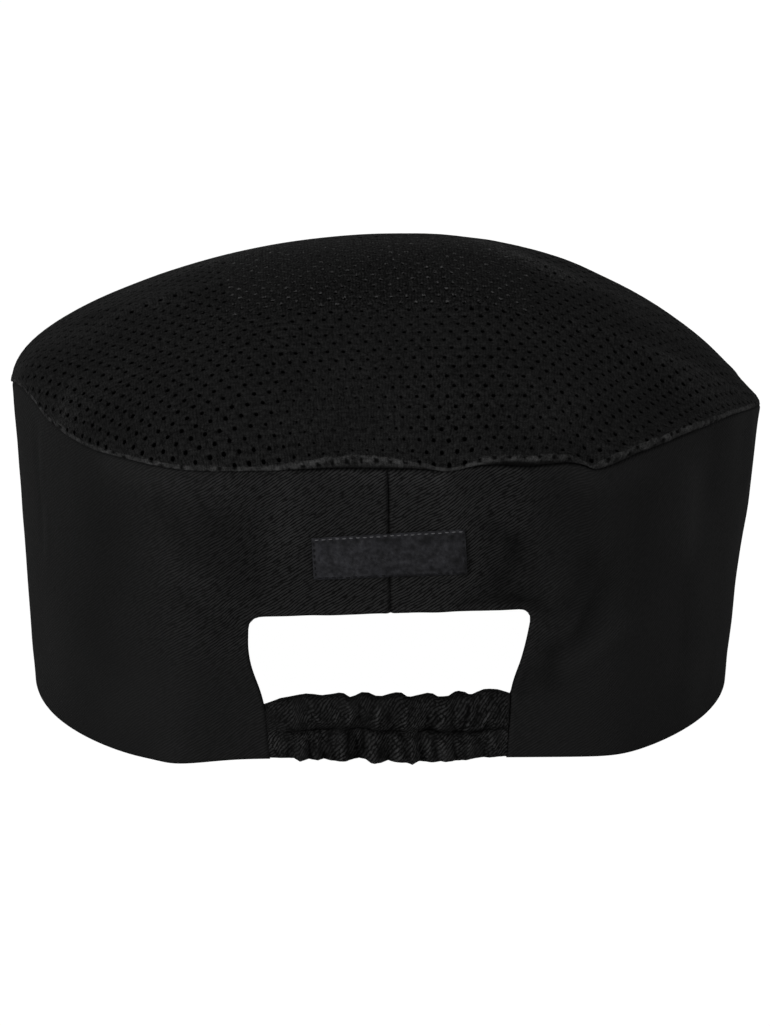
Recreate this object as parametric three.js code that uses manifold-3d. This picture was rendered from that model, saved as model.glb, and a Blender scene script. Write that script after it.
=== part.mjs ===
// A flat-topped chef's cap: a flared twill wall, a puffed crown of knit mesh, a gathered casing that
// pulls the back in below a window, and a small bare woven label.
// Millimetres, +Z up. The wearer faces -Y, so the back of the cap is at +Y and the wearer's left at +X.
// Angles go round the cap in degrees: 0 at the wearer's left, 90 at the back, 180 at the right.

import * as THREE from 'three';
import { mergeVertices } from 'three/addons/utils/BufferGeometryUtils.js';
import Module from 'manifold-3d';

// Plan of the cap: an oval at the rim and a wider one at the crown seam, both drawn in flat at the back.
const rim = {
  halfWidth: 91.2, aside: 1.3, backReach: 112, frontReach: 97, flatBack: 86.7, leftPower: 2.0, rightPower: 1.9,
};
const seam = {
  halfWidth: 98.5, aside: 0, backReach: 108, frontReach: 103, flatBack: 93, leftPower: 2.0, rightPower: 2.0,
};
const flatBlend = 3;
const widestBehindMiddle = 4.2;

// The wall between them, and how far its edge stays from the crown.
const wallThickness = 2;
const pieceGap = 0.3;

// Height of the crown seam round the cap. The cap leans, and the crown pulls the wall up at the back corners.
const seamHeights = [
  { angle: 0, height: 77.8 },
  { angle: 23, height: 79.4 },
  { angle: 36, height: 77.3 },
  { angle: 50, height: 76.1 },
  { angle: 82, height: 77.5 },
  { angle: 97, height: 76.4 },
  { angle: 106, height: 77.6 },
  { angle: 117, height: 76.5 },
  { angle: 127, height: 78.5 },
  { angle: 140, height: 79.4 },
  { angle: 157, height: 78.7 },
  { angle: 170, height: 76.2 },
  { angle: 180, height: 73.6 },
  { angle: 225, height: 76.5 },
  { angle: 270, height: 79 },
  { angle: 315, height: 79 },
];

// Corners of the seam that the crown draws inward.
const seamPulls = [
  { angle: 33, spread: 20, inward: 2 },
  { angle: 145, spread: 24, inward: 4 },
];

// Soft folds of the wall, each along a straight line on it. Outward is positive. They fade towards the rim.
const foldFreeLevel = 0.25;
const wallFolds = [
  { fromAngle: 50, fromHeight: 72, toAngle: 69, toHeight: 37, width: 7, outward: 1.4 },
  { fromAngle: 57, fromHeight: 70, toAngle: 72, toHeight: 46, width: 5, outward: -0.9 },
  { fromAngle: 123, fromHeight: 62, toAngle: 111, toHeight: 34, width: 6, outward: -1.6 },
  { fromAngle: 131, fromHeight: 60, toAngle: 117, toHeight: 24, width: 7, outward: 1 },
  { fromAngle: 22, fromHeight: 76, toAngle: 26, toHeight: 36, width: 4, outward: 0.7 },
  { fromAngle: 160, fromHeight: 74, toAngle: 168, toHeight: 56, width: 5, outward: -1.2 },
];

// Crown: its rise above the seam, and how its shoulder is fuller on the left than on the right.
const crown = {
  rise: 40.2, base: 75, tiltAcross: -2.3, peakAside: -1, edgeHold: 8, edgeTurn: 0.2, thickness: 1.4,
  roundness: 2.03, roundnessAcross: -0.1, shoulder: 0.753, shoulderAcross: -0.2,
};

// The crown's edge rolls over the seam at the back in scallops, and is thin elsewhere.
const rollHeight = 3.2;
const plainRoll = 0.4;
const rollFullness = 0.5;
const rollScallops = [
  { fromAngle: 28, toAngle: 76, outward: 0.7 },
  { fromAngle: 78, toAngle: 98, outward: 2 },
  { fromAngle: 101, toAngle: 119, outward: 1.8 },
  { fromAngle: 120, toAngle: 172, outward: 1.5 },
];

// Creases pressed into the crown, each along a straight line in plan. They fade towards the seam.
const creaseFreeClimb = 0.2;
const crownCreases = [
  { fromX: 82, fromY: 2, toX: 52, toY: 14, width: 6, outward: 0.9 },
  { fromX: -24, fromY: -36, toX: -66, toY: -8, width: 6, outward: 0.5 },
  { fromX: -52, fromY: 40, toX: -88, toY: 36, width: 6, outward: 1.1 },
  { fromX: -30, fromY: 52, toX: -78, toY: 52, width: 9, outward: -0.8 },
];

// The share of a fold's or crease's length at each end where it no longer keeps to its line.
const foldEnd = 0.15;

// Opening in the back of the wall, as corners seen from behind with the radius of each.
const openingDepth = 70;
const backOpening = [
  { x: 36.4, z: 37.9, radius: 3.5 },
  { x: 36.6, z: 27, radius: 5 },
  { x: 32.4, z: 15.5, radius: 5 },
  { x: 30.6, z: -6, radius: 0 },
  { x: -28.7, z: -6, radius: 0 },
  { x: -29.6, z: 17.5, radius: 5 },
  { x: -33.2, z: 28.5, radius: 5 },
  { x: -35.4, z: 39.5, radius: 3.5 },
];

// Gathered casing: its stitched line, its edges, and the creases that part its puffs above and below the line.
const casing = {
  stitchHeight: 8.5, topEdge: 16.2, topPuff: 1.9, bottomEdge: 1.6, bottomPuff: 1.3,
  halfThickness: 0.9, puffOut: 4.2, puffIn: 2.2, puffFullness: 0.7, sectionFullness: 0.8, sectionEnd: 0.06,
  tuckDepth: 2.5, tuckRun: 3.6, fromWallEdge: 0.4,
};
const creasesAbove = [36, 31.1, 17.7, 10.4, 3.1, -4.5, -13.1, -20.1, -29.7, -34.5];
const creasesBelow = [36, 30.8, 20.7, 15.6, 8.1, 1.3, -6.8, -13.5, -20.5, -28.9, -34.5];

// Label, sewn flat on the wall above the opening and a little askew.
const label = { width: 38.6, height: 11.4, thickness: 0.8, centerX: 0.7, centerZ: 54.2, askew: 3.3 };

// How finely each piece is divided.
const mesh = {
  around: 84, wallLevels: 7, openingCorner: 4, crownRings: 13, crownRingBias: 1.25, casingStep: 1.5,
  casingRows: 5, labelAcross: 10, labelUp: 3,
};

const degree = Math.PI / 180;

// A smooth closed curve through rows of angle and height, level with its neighbours' slope at each row.
function heightAt(rows, angle) {
  const turn = ((angle % 360) + 360) % 360;
  const count = rows.length;
  const row = (i) => {
    const lap = Math.floor(i / count);
    const own = rows[i - lap * count];
    return { angle: own.angle + 360 * lap, height: own.height };
  };
  const slope = (i) => (row(i + 1).height - row(i - 1).height) / (row(i + 1).angle - row(i - 1).angle);
  let at = count - 1;
  while (rows[at].angle > turn) at -= 1;
  const start = row(at);
  const end = row(at + 1);
  const span = end.angle - start.angle;
  const t = (turn - start.angle) / span;
  const rise = 3 * t * t - 2 * t * t * t;
  const leave = t * (1 - t) * (1 - t) * span * slope(at);
  const arrive = t * t * (1 - t) * span * slope(at + 1);
  return start.height * (1 - rise) + end.height * rise + leave - arrive;
}

const seamHeight = (angle) => heightAt(seamHeights, angle);

// One oval of the plan, from its own middle.
function ovalPoint(oval, angle) {
  const cos = Math.cos(angle * degree);
  const sin = Math.sin(angle * degree);
  const power = cos > 0 ? oval.leftPower : oval.rightPower;
  const reach = sin > 0 ? oval.backReach : oval.frontReach;
  const sum = Math.abs(cos / oval.halfWidth) ** power + Math.abs(sin / reach) ** power;
  const radius = 1 / sum ** (1 / power);
  const y = radius * sin;
  const drawnIn = flatBlend * Math.log1p(Math.exp(Math.min((y - oval.flatBack) / flatBlend, 40)));
  return new THREE.Vector2(radius * cos + oval.aside, y - drawnIn);
}

function seamPoint(angle) {
  const point = ovalPoint(seam, angle);
  let inward = 0;
  for (const pull of seamPulls) {
    inward += pull.inward * Math.exp(-(((angle - pull.angle) / pull.spread) ** 2));
  }
  return point.multiplyScalar(1 - inward / point.length());
}

// How far a point lies from a line, as a share of the fold's height that fades past the line's ends.
function foldShare(px, py, ax, ay, bx, by, width) {
  const runX = bx - ax;
  const runY = by - ay;
  const along = ((px - ax) * runX + (py - ay) * runY) / (runX * runX + runY * runY);
  const held = THREE.MathUtils.clamp(along, foldEnd, 1 - foldEnd);
  const distance = Math.hypot(px - ax - held * runX, py - ay - held * runY);
  return Math.exp(-((distance / width) ** 2));
}

// A place on the wall's outer face, with level 0 at the rim and 1 at the seam.
function wallPoint(angle, level) {
  const low = ovalPoint(rim, angle);
  const plan = low.clone().lerp(seamPoint(angle), level);
  const height = level * (seamHeight(angle) - pieceGap);
  const millimetresPerDegree = rim.halfWidth * degree;
  let outward = 0;
  for (const fold of wallFolds) {
    outward += fold.outward * foldShare(
      angle * millimetresPerDegree, height,
      fold.fromAngle * millimetresPerDegree, fold.fromHeight,
      fold.toAngle * millimetresPerDegree, fold.toHeight, fold.width,
    );
  }
  outward *= Math.min(1, level / foldFreeLevel);
  plan.multiplyScalar(1 + outward / plan.length());
  return new THREE.Vector3(plan.x, plan.y + widestBehindMiddle, height);
}

// How far the crown's edge rolls outward over the seam at an angle.
function rollOutward(angle) {
  let outward = plainRoll;
  for (const scallop of rollScallops) {
    const along = (angle - scallop.fromAngle) / (scallop.toAngle - scallop.fromAngle);
    if (along > 0 && along < 1) outward += scallop.outward * Math.sin(Math.PI * along) ** rollFullness;
  }
  return outward;
}

// A place on the crown's outer face, with climb 0 at the seam and 1 at the peak.
function crownPoint(angle, climb) {
  const edge = seamPoint(angle);
  const share = Math.cos(climb * 90 * degree);
  const side = Math.cos(angle * degree);
  const plan = edge.clone().multiplyScalar(share);
  plan.x += crown.peakAside * (1 - share * share);
  const base = crown.base + (crown.tiltAcross * plan.x) / seam.halfWidth;
  const roundness = crown.roundness + crown.roundnessAcross * side;
  const shoulder = crown.shoulder + crown.shoulderAcross * side;
  const lifted = Math.max(0, 1 - share ** roundness) ** shoulder;
  let height = base + (seamHeight(angle) - base) * share ** crown.edgeHold + crown.rise * lifted;
  const aboveSeam = height - seamHeight(angle);
  const roll = Math.exp(-(((aboveSeam - rollHeight / 2) / (rollHeight / 2)) ** 2)) * rollOutward(angle);
  plan.multiplyScalar(1 + (roll * share) / Math.max(plan.length(), 1));
  const clearOfEdge = Math.min(1, climb / creaseFreeClimb);
  for (const crease of crownCreases) {
    height += clearOfEdge * crease.outward * foldShare(
      plan.x, plan.y, crease.fromX, crease.fromY, crease.toX, crease.toY, crease.width,
    );
  }
  return new THREE.Vector3(plan.x, plan.y + widestBehindMiddle, height);
}

// Outward direction of a surface given by a function of angle and step.
function outwardOf(surface, angle, step) {
  const angleReach = 0.5;
  const stepReach = 0.04;
  const acrossFrom = surface(angle - angleReach, step);
  const across = surface(angle + angleReach, step).sub(acrossFrom);
  const upFrom = surface(angle, Math.max(step - stepReach, 0));
  const up = surface(angle, Math.min(step + stepReach, 1)).sub(upFrom);
  return across.cross(up).normalize();
}

function geometryFrom(points, triangles) {
  const geometry = new THREE.BufferGeometry();
  const positions = points.flatMap((p) => [p.x, p.y, p.z]);
  geometry.setAttribute('position', new THREE.Float32BufferAttribute(positions, 3));
  geometry.setIndex(triangles.flat());
  geometry.computeVertexNormals();
  return geometry;
}

// Triangles of a closed loop of faces between two rows of vertices that run the same way round.
function loopFaces(lowStart, highStart, count) {
  const faces = [];
  for (let i = 0; i < count; i += 1) {
    const next = (i + 1) % count;
    faces.push([lowStart + i, lowStart + next, highStart + next]);
    faces.push([lowStart + i, highStart + next, highStart + i]);
  }
  return faces;
}

// The wall as a closed band: up the outer face and down the inner one.
function wallSolid() {
  const points = [];
  const levels = mesh.wallLevels + 1;
  for (let face = 0; face < 2; face += 1) {
    for (let k = 0; k < levels; k += 1) {
      const level = (face === 0 ? k : mesh.wallLevels - k) / mesh.wallLevels;
      for (let i = 0; i < mesh.around; i += 1) {
        const angle = (360 * i) / mesh.around;
        const point = wallPoint(angle, level);
        if (face === 1) {
          const inward = outwardOf(wallPoint, angle, level).setZ(0).normalize();
          point.addScaledVector(inward, -wallThickness);
        }
        points.push(point);
      }
    }
  }
  const faces = [];
  for (let k = 0; k < 2 * levels; k += 1) {
    const above = (k + 1) % (2 * levels);
    faces.push(...loopFaces(k * mesh.around, above * mesh.around, mesh.around));
  }
  return geometryFrom(points, faces);
}

// Outline with its corners rounded by curves that start and end a radius away from each corner.
function roundedOutline(corners) {
  const shape = new THREE.Shape();
  corners.forEach((corner, i) => {
    const here = new THREE.Vector2(corner.x, corner.z);
    const before = corners[(i + corners.length - 1) % corners.length];
    const after = corners[(i + 1) % corners.length];
    const towardsBefore = new THREE.Vector2(before.x, before.z).sub(here).normalize();
    const towardsAfter = new THREE.Vector2(after.x, after.z).sub(here).normalize();
    const start = here.clone().addScaledVector(towardsBefore, corner.radius);
    const end = here.clone().addScaledVector(towardsAfter, corner.radius);
    if (i === 0) shape.moveTo(start.x, start.y);
    else shape.lineTo(start.x, start.y);
    if (corner.radius > 0) shape.quadraticCurveTo(here.x, here.y, end.x, end.y);
  });
  return shape;
}

// A bar with the opening's outline that passes through the back of the wall alone.
function openingCutter() {
  const settings = { depth: openingDepth, bevelEnabled: false, curveSegments: mesh.openingCorner };
  const cutter = new THREE.ExtrudeGeometry(roundedOutline(backOpening), settings);
  cutter.rotateX(Math.PI / 2);
  cutter.translate(0, seam.flatBack + widestBehindMiddle + openingDepth / 2, 0);
  return cutter;
}

const wasm = await Module();
wasm.setup();

function solidFrom(geometry) {
  const bare = geometry.clone();
  bare.deleteAttribute('normal');
  bare.deleteAttribute('uv');
  const merged = mergeVertices(bare, 1e-4);
  return new wasm.Manifold(new wasm.Mesh({
    numProp: 3,
    vertProperties: new Float32Array(merged.attributes.position.array),
    triVerts: new Uint32Array(merged.index.array),
  }));
}

function geometryOf(solid) {
  const result = solid.getMesh();
  const geometry = new THREE.BufferGeometry();
  geometry.setAttribute('position', new THREE.Float32BufferAttribute(result.vertProperties, 3));
  geometry.setIndex(Array.from(result.triVerts));
  geometry.computeVertexNormals();
  return geometry;
}

// The crown as a closed shell, open below: outer rings up to the peak, then inner rings from the peak down.
function crownSolid() {
  const outer = [];
  const inner = [];
  for (let k = 0; k < mesh.crownRings; k += 1) {
    const climb = (k / mesh.crownRings) ** mesh.crownRingBias;
    for (let i = 0; i < mesh.around; i += 1) {
      const angle = (360 * i) / mesh.around;
      const point = crownPoint(angle, climb);
      const normal = outwardOf(crownPoint, angle, climb);
      normal.z *= THREE.MathUtils.smoothstep(climb, 0, crown.edgeTurn);
      normal.normalize();
      outer.push(point);
      inner.push(point.clone().addScaledVector(normal, -crown.thickness));
    }
  }
  const peak = crownPoint(0, 1);
  const count = mesh.around;
  const innerStart = outer.length + 1;
  const points = [...outer, peak, ...inner, peak.clone().setZ(peak.z - crown.thickness)];
  const faces = [];
  for (let k = 0; k < mesh.crownRings - 1; k += 1) {
    faces.push(...loopFaces(k * count, (k + 1) * count, count));
    faces.push(...loopFaces(innerStart + (k + 1) * count, innerStart + k * count, count));
  }
  faces.push(...loopFaces(innerStart, 0, count));
  const lastRing = (mesh.crownRings - 1) * count;
  for (let i = 0; i < count; i += 1) {
    const next = (i + 1) % count;
    faces.push([lastRing + i, lastRing + next, outer.length]);
    faces.push([innerStart + lastRing + next, innerStart + lastRing + i, points.length - 1]);
  }
  return geometryFrom(points, faces);
}

// How full a puff is at a place between the two creases that bound it, from 0 to 1.
function puffAt(creases, x) {
  for (let i = 0; i + 1 < creases.length; i += 1) {
    if (x <= creases[i] && x >= creases[i + 1]) {
      const along = (creases[i] - x) / (creases[i] - creases[i + 1]);
      return Math.sin(Math.PI * along) ** casing.puffFullness;
    }
  }
  return 0;
}

// The opening's lower corners, where the wall's edges cross the casing.
const lowerCorners = backOpening.filter((corner) => corner.radius === 0);
const openingLeft = Math.max(...lowerCorners.map((corner) => corner.x));
const openingRight = Math.min(...lowerCorners.map((corner) => corner.x));

// Share of the casing that stands free at x: 1 between the wall's edges, 0 where its ends tuck in behind.
function freeShare(x) {
  const fromEdge = Math.min(openingLeft - x, x - openingRight) - casing.fromWallEdge;
  return THREE.MathUtils.smoothstep(fromEdge, 0, casing.tuckRun);
}

// The loop of points round the casing's section at x: up the outside and down the inside.
function casingSection(x) {
  const free = freeShare(x);
  const above = puffAt(creasesAbove, x) * free;
  const below = puffAt(creasesBelow, x) * free;
  const top = casing.topEdge + casing.topPuff * above;
  const bottom = casing.bottomEdge - casing.bottomPuff * below;
  const wallSlope = (seam.flatBack - rim.flatBack) / seamHeight(90);
  const outside = [];
  const inside = [];
  const rows = mesh.casingRows;
  for (let k = 0; k <= 2 * rows; k += 1) {
    const inLower = k <= rows;
    const share = inLower ? k / rows : (k - rows) / rows;
    const z = inLower
      ? THREE.MathUtils.lerp(bottom, casing.stitchHeight, share)
      : THREE.MathUtils.lerp(casing.stitchHeight, top, share);
    const clearOfEnds = THREE.MathUtils.clamp(share, casing.sectionEnd, 1 - casing.sectionEnd);
    const fullness = Math.sin(Math.PI * clearOfEnds) ** casing.sectionFullness;
    const puff = (inLower ? below : above) * (k === rows ? 0 : fullness);
    const middle = rim.flatBack - wallThickness / 2 + wallSlope * z
      - casing.tuckDepth * (1 - free) + widestBehindMiddle;
    outside.push(new THREE.Vector3(x, middle + casing.halfThickness + casing.puffOut * puff, z));
    inside.unshift(new THREE.Vector3(x, middle - casing.halfThickness - casing.puffIn * puff, z));
  }
  return [...outside, ...inside];
}

function casingSolid() {
  const start = creasesAbove[creasesAbove.length - 1];
  const end = creasesAbove[0];
  const steps = Math.round((end - start) / mesh.casingStep);
  const points = [];
  let loop = 0;
  for (let i = 0; i <= steps; i += 1) {
    const section = casingSection(THREE.MathUtils.lerp(start, end, i / steps));
    loop = section.length;
    points.push(...section);
  }
  const faces = [];
  for (let i = 0; i < steps; i += 1) faces.push(...loopFaces(i * loop, (i + 1) * loop, loop));
  const last = steps * loop;
  for (let k = 0; k < loop / 2 - 1; k += 1) {
    const across = loop - 1 - k;
    faces.push([k + 1, k, across], [k + 1, across, across - 1]);
    faces.push([last + k, last + k + 1, last + across], [last + k + 1, last + across - 1, last + across]);
  }
  return geometryFrom(points, faces);
}

// How far back the wall's outer face lies at a height, where it faces straight back.
function backFace(z) {
  const level = z / seamHeight(90);
  return THREE.MathUtils.lerp(rim.flatBack, seam.flatBack, level) + widestBehindMiddle;
}

// The label as a thin plate that follows the back of the wall.
function labelSolid() {
  const across = mesh.labelAcross;
  const up = mesh.labelUp;
  const tilt = label.askew * degree;
  const points = [];
  for (const lift of [pieceGap, pieceGap + label.thickness]) {
    for (let k = 0; k <= up; k += 1) {
      for (let i = 0; i <= across; i += 1) {
        const u = (0.5 - i / across) * label.width;
        const v = (k / up - 0.5) * label.height;
        const x = label.centerX + u * Math.cos(tilt) + v * Math.sin(tilt);
        const z = label.centerZ - u * Math.sin(tilt) + v * Math.cos(tilt);
        points.push(new THREE.Vector3(x, backFace(z) + lift, z));
      }
    }
  }
  const perRow = across + 1;
  const front = perRow * (up + 1);
  const at = (face, k, i) => face * front + k * perRow + i;
  const faces = [];
  const quad = (a, b, c, d) => faces.push([a, b, c], [a, c, d]);
  for (let k = 0; k < up; k += 1) {
    for (let i = 0; i < across; i += 1) {
      quad(at(1, k, i), at(1, k, i + 1), at(1, k + 1, i + 1), at(1, k + 1, i));
      quad(at(0, k, i), at(0, k + 1, i), at(0, k + 1, i + 1), at(0, k, i + 1));
    }
    quad(at(0, k, 0), at(1, k, 0), at(1, k + 1, 0), at(0, k + 1, 0));
    quad(at(0, k, across), at(0, k + 1, across), at(1, k + 1, across), at(1, k, across));
  }
  for (let i = 0; i < across; i += 1) {
    quad(at(0, 0, i), at(0, 0, i + 1), at(1, 0, i + 1), at(1, 0, i));
    quad(at(0, up, i), at(1, up, i), at(1, up, i + 1), at(0, up, i + 1));
  }
  return geometryFrom(points, faces);
}

const twillFinish = new THREE.MeshStandardMaterial({ color: 0x1a1a1b, roughness: 0.9, metalness: 0 });
const meshFinish = new THREE.MeshStandardMaterial({ color: 0x161616, roughness: 0.85, metalness: 0 });
const labelFinish = new THREE.MeshStandardMaterial({ color: 0x26262a, roughness: 0.8, metalness: 0 });

function piece(name, geometry, material) {
  const made = new THREE.Mesh(geometry, material);
  made.name = name;
  return made;
}

const hat = new THREE.Group();
const openedWall = solidFrom(wallSolid()).subtract(solidFrom(openingCutter()));
hat.add(piece('side_band', geometryOf(openedWall), twillFinish));
hat.add(piece('crown', crownSolid(), meshFinish));
hat.add(piece('elastic_casing', casingSolid(), twillFinish.clone()));
hat.add(piece('woven_label', labelSolid(), labelFinish));

export default hat;
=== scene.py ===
import math

import bmesh
import bpy
import numpy as np
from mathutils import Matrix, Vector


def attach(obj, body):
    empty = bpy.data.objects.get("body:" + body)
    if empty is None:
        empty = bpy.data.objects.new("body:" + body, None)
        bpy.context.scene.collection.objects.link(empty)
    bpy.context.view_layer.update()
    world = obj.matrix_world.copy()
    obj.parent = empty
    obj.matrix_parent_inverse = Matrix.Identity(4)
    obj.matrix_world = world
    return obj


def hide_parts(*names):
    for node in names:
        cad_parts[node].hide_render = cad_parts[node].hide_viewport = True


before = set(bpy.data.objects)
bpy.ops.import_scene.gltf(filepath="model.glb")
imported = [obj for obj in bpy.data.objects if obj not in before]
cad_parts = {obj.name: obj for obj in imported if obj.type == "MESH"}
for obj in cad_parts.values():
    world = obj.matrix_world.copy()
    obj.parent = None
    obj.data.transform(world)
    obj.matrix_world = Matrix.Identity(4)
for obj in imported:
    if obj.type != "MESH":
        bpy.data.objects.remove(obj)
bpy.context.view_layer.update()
print("frame loaded:", ", ".join(sorted(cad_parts)))

# The cap is worked out in millimetres and degrees, and scaled as each mesh is made.
# Angle 0 is the wearer's left (+X), 90 the back (+Y) and 180 the right.
metre = 0.001


# Helpers for numbers


def smoothRise(value, start, end):
    t = np.clip((value - start) / (end - start), 0, 1)
    return t * t * (3 - 2 * t)


def hump(distance, spread):
    # 1 at no distance, and near 0 from two spreads on
    return np.exp(-((distance / spread) ** 2))


def unit(vectors):
    return vectors / np.maximum(np.linalg.norm(vectors, axis=-1, keepdims=True), 1e-12)


def valueNoise(position, seed, count=512):
    # smooth one-dimensional noise from -1 to 1, that repeats every count steps
    table = np.random.default_rng(seed).uniform(-1, 1, count)
    cell = np.floor(position).astype(int)
    t = smoothRise(position - cell, 0, 1)
    return table[cell % count] * (1 - t) + table[(cell + 1) % count] * t


def valueNoise2(u, v, seed, countU=128, countV=256):
    # the same in two dimensions
    table = np.random.default_rng(seed).uniform(-1, 1, (countU, countV))
    cellU, cellV = np.floor(u).astype(int), np.floor(v).astype(int)
    tu, tv = smoothRise(u - cellU, 0, 1), smoothRise(v - cellV, 0, 1)

    def row(stepV):
        near = table[cellU % countU, (cellV + stepV) % countV]
        return near * (1 - tu) + table[(cellU + 1) % countU, (cellV + stepV) % countV] * tu

    return row(0) * (1 - tv) + row(1) * tv


def patchNoise(places, sizeU, sizeV, offset, seed):
    # noise over flat places, with patches of the two sizes
    return valueNoise2(places[..., 0] / sizeU + offset, places[..., 1] / sizeV + offset, seed)


# Helpers for meshes


def splitAlong(points, faces, values, level):
    # cuts every face that the level crosses; neighbours share the new points on their common edges
    side = np.where(values > level + 1e-6, 1, np.where(values < level - 1e-6, -1, 0)).tolist()
    cuts = {}
    added = []
    made = []
    for face in faces:
        own = [side[i] for i in face]
        if min(own) >= 0 or max(own) <= 0:
            made.append(face)
            continue
        above, below = [], []
        for a, b in zip(face, face[1:] + face[:1]):
            if side[a] >= 0:
                above.append(a)
            if side[a] <= 0:
                below.append(a)
            if side[a] * side[b] < 0:
                key = (a, b) if a < b else (b, a)
                if key not in cuts:
                    share = (level - values[key[0]]) / (values[key[1]] - values[key[0]])
                    cuts[key] = len(points) + len(added)
                    added.append(points[key[0]] * (1 - share) + points[key[1]] * share)
                above.append(cuts[key])
                below.append(cuts[key])
        made += [part for part in (above, below) if len(part) > 2]
    if added:
        points = np.concatenate([points, np.array(added)])
        values = np.concatenate([values, np.full(len(added), float(level))])
    return points, made, values


def keepAbove(faces, values, level):
    return [face for face in faces if np.mean([values[i] for i in face]) > level]


def gridFaces(rows, columns):
    return [
        [r * columns + c, r * columns + c + 1, (r + 1) * columns + c + 1, (r + 1) * columns + c]
        for r in range(rows - 1)
        for c in range(columns - 1)
    ]


def bothSides(faces, count):
    # the faces of a sheet and those of its other side, whose points come count points later
    return faces + [[i + count for i in reversed(face)] for face in faces]


def firstSide(tone, other=0.0):
    # a tone on a sheet's first side, and one value on its other side
    return np.concatenate([tone.ravel(), np.full(tone.size, other)])


def linked(name, data):
    made = bpy.data.objects.new(name, data)
    bpy.context.scene.collection.objects.link(made)
    return made


def newPiece(name, points, faces, material, cloth, tones=None, node=None):
    # points in millimetres; cloth is each point's place on the flat cloth, kept as the map ClothUV
    used = np.unique(np.concatenate([np.array(face) for face in faces]))
    renumber = np.full(len(points), -1)
    renumber[used] = np.arange(len(used))
    mesh = bpy.data.meshes.new(name)
    renumbered = [renumber[np.array(face)].tolist() for face in faces]
    mesh.from_pydata((points[used] * metre).tolist(), [], renumbered)
    corner = np.empty(len(mesh.loops), np.int32)
    mesh.loops.foreach_get("vertex_index", corner)
    layer = mesh.uv_layers.new(name="ClothUV")
    layer.data.foreach_set("uv", (cloth[used] * metre)[corner].astype(np.float32).ravel())
    for key, tone in (tones or {}).items():
        attribute = mesh.attributes.new(key, "FLOAT", "POINT")
        attribute.data.foreach_set("value", tone[used].astype(np.float32))
    mesh.polygons.foreach_set("use_smooth", np.ones(len(mesh.polygons), bool))
    welded = bmesh.new()
    welded.from_mesh(mesh)
    bmesh.ops.remove_doubles(welded, verts=welded.verts, dist=2e-6)
    bmesh.ops.recalc_face_normals(welded, faces=welded.faces)
    welded.to_mesh(mesh)
    welded.free()
    mesh.update()
    mesh.materials.append(material)
    made = linked(name, mesh)
    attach(made, "root")
    if node:
        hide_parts(node)
    triangles = sum(len(p.vertices) - 2 for p in mesh.polygons)
    print(f"{name}: {triangles} triangles")


# The cap's plan and profile

capShape = {
    # half width, middle, reaches and flat back of the rim's and the crown seam's ovals, and their roundness
    "rim": dict(halfWidth=91.2, aside=1.3, backReach=112, frontReach=97, flatBack=86.7,
                leftPower=2.16, rightPower=2.04),
    "seam": dict(halfWidth=98.5, aside=-0.5, backReach=108, frontReach=103, flatBack=93,
                 leftPower=2.0, rightPower=2.0),
    "flatBlend": 3,
    "widestBehindMiddle": 4.2,
    "wallThickness": 2.0,
    "pieceGap": 0.3,
    # angle and height of the crown seam
    "seamHeights": [
        (0, 80.2), (8, 82.6), (15, 83.8), (21, 82.9), (27, 80.2), (33, 78.4), (40, 77), (50, 76.9),
        (60, 76.7), (82, 77.5), (89, 77.3), (93, 77.2), (97, 76.7), (101, 77.9), (104.6, 78.1), (108, 77.6),
        (111.5, 78.1), (114.5, 78.3), (117, 77.4), (119, 76.2), (122.5, 77.2), (127, 78.4), (140, 79.4),
        (157, 78.6), (170, 76), (180, 73.6), (225, 76.5), (270, 79), (315, 79),
    ],
    # angle, spread and inward pull of the seam's corners, and of the rim
    "seamPulls": [(33, 20, 1.2), (145, 24, 4), (190, 8, 2.0)],
    "rimPulls": [(62.5, 5.5, -5.0)],
    # angle, height and outward reach of the roll of mesh over the seam, and height of its lower lip
    "roll": [
        (0, 0.8, 0.25, -0.2), (12, 0.7, 0.2, -0.2), (31, 0.8, 0.3, -0.2), (50, 0.85, 0.35, -0.2),
        (66, 0.9, 0.35, -0.2), (73.6, 0.95, 0.35, -0.3), (76, 1.8, 0.9, 0.35), (78, 2.5, 1.4, 0.6),
        (79.7, 2.8, 1.6, 0.8), (81.5, 3.2, 1.7, 0.95), (85, 3.4, 1.8, 1.1), (89, 3.1, 1.7, 1.1),
        (92, 2.4, 1.4, 0.9), (94.5, 1.6, 0.9, 0.5), (97, 0.7, 0.2, -0.3), (99.3, 0.9, 0.5, 0),
        (101.8, 1.8, 1.1, 0.7), (104.6, 2.8, 1.7, 1.3), (108, 3.3, 2, 1.6), (112.5, 2.9, 1.9, 1.2),
        (115, 2, 1.3, 0.8), (117, 1.2, 0.5, 0.2), (118.6, 0.9, 0.3, 0), (119.6, 2.1, 1.1, 0.5),
        (122, 2.7, 1.5, 0.7), (126, 2.7, 1.6, 0.8), (131, 2.5, 1.5, 0.8), (138, 2.2, 1.3, 0.7),
        (145, 1.9, 1, 0.5), (153, 1.4, 0.6, 0.2), (162, 1, 0.3, -0.2), (172, 0.8, 0.25, -0.3),
        (180, 0.7, 0.2, -0.3), (270, 1.1, 0.4, -0.4),
    ],
    # share of a fold's length over which it fades at each end
    "foldEnd": 0.15,
}


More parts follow.
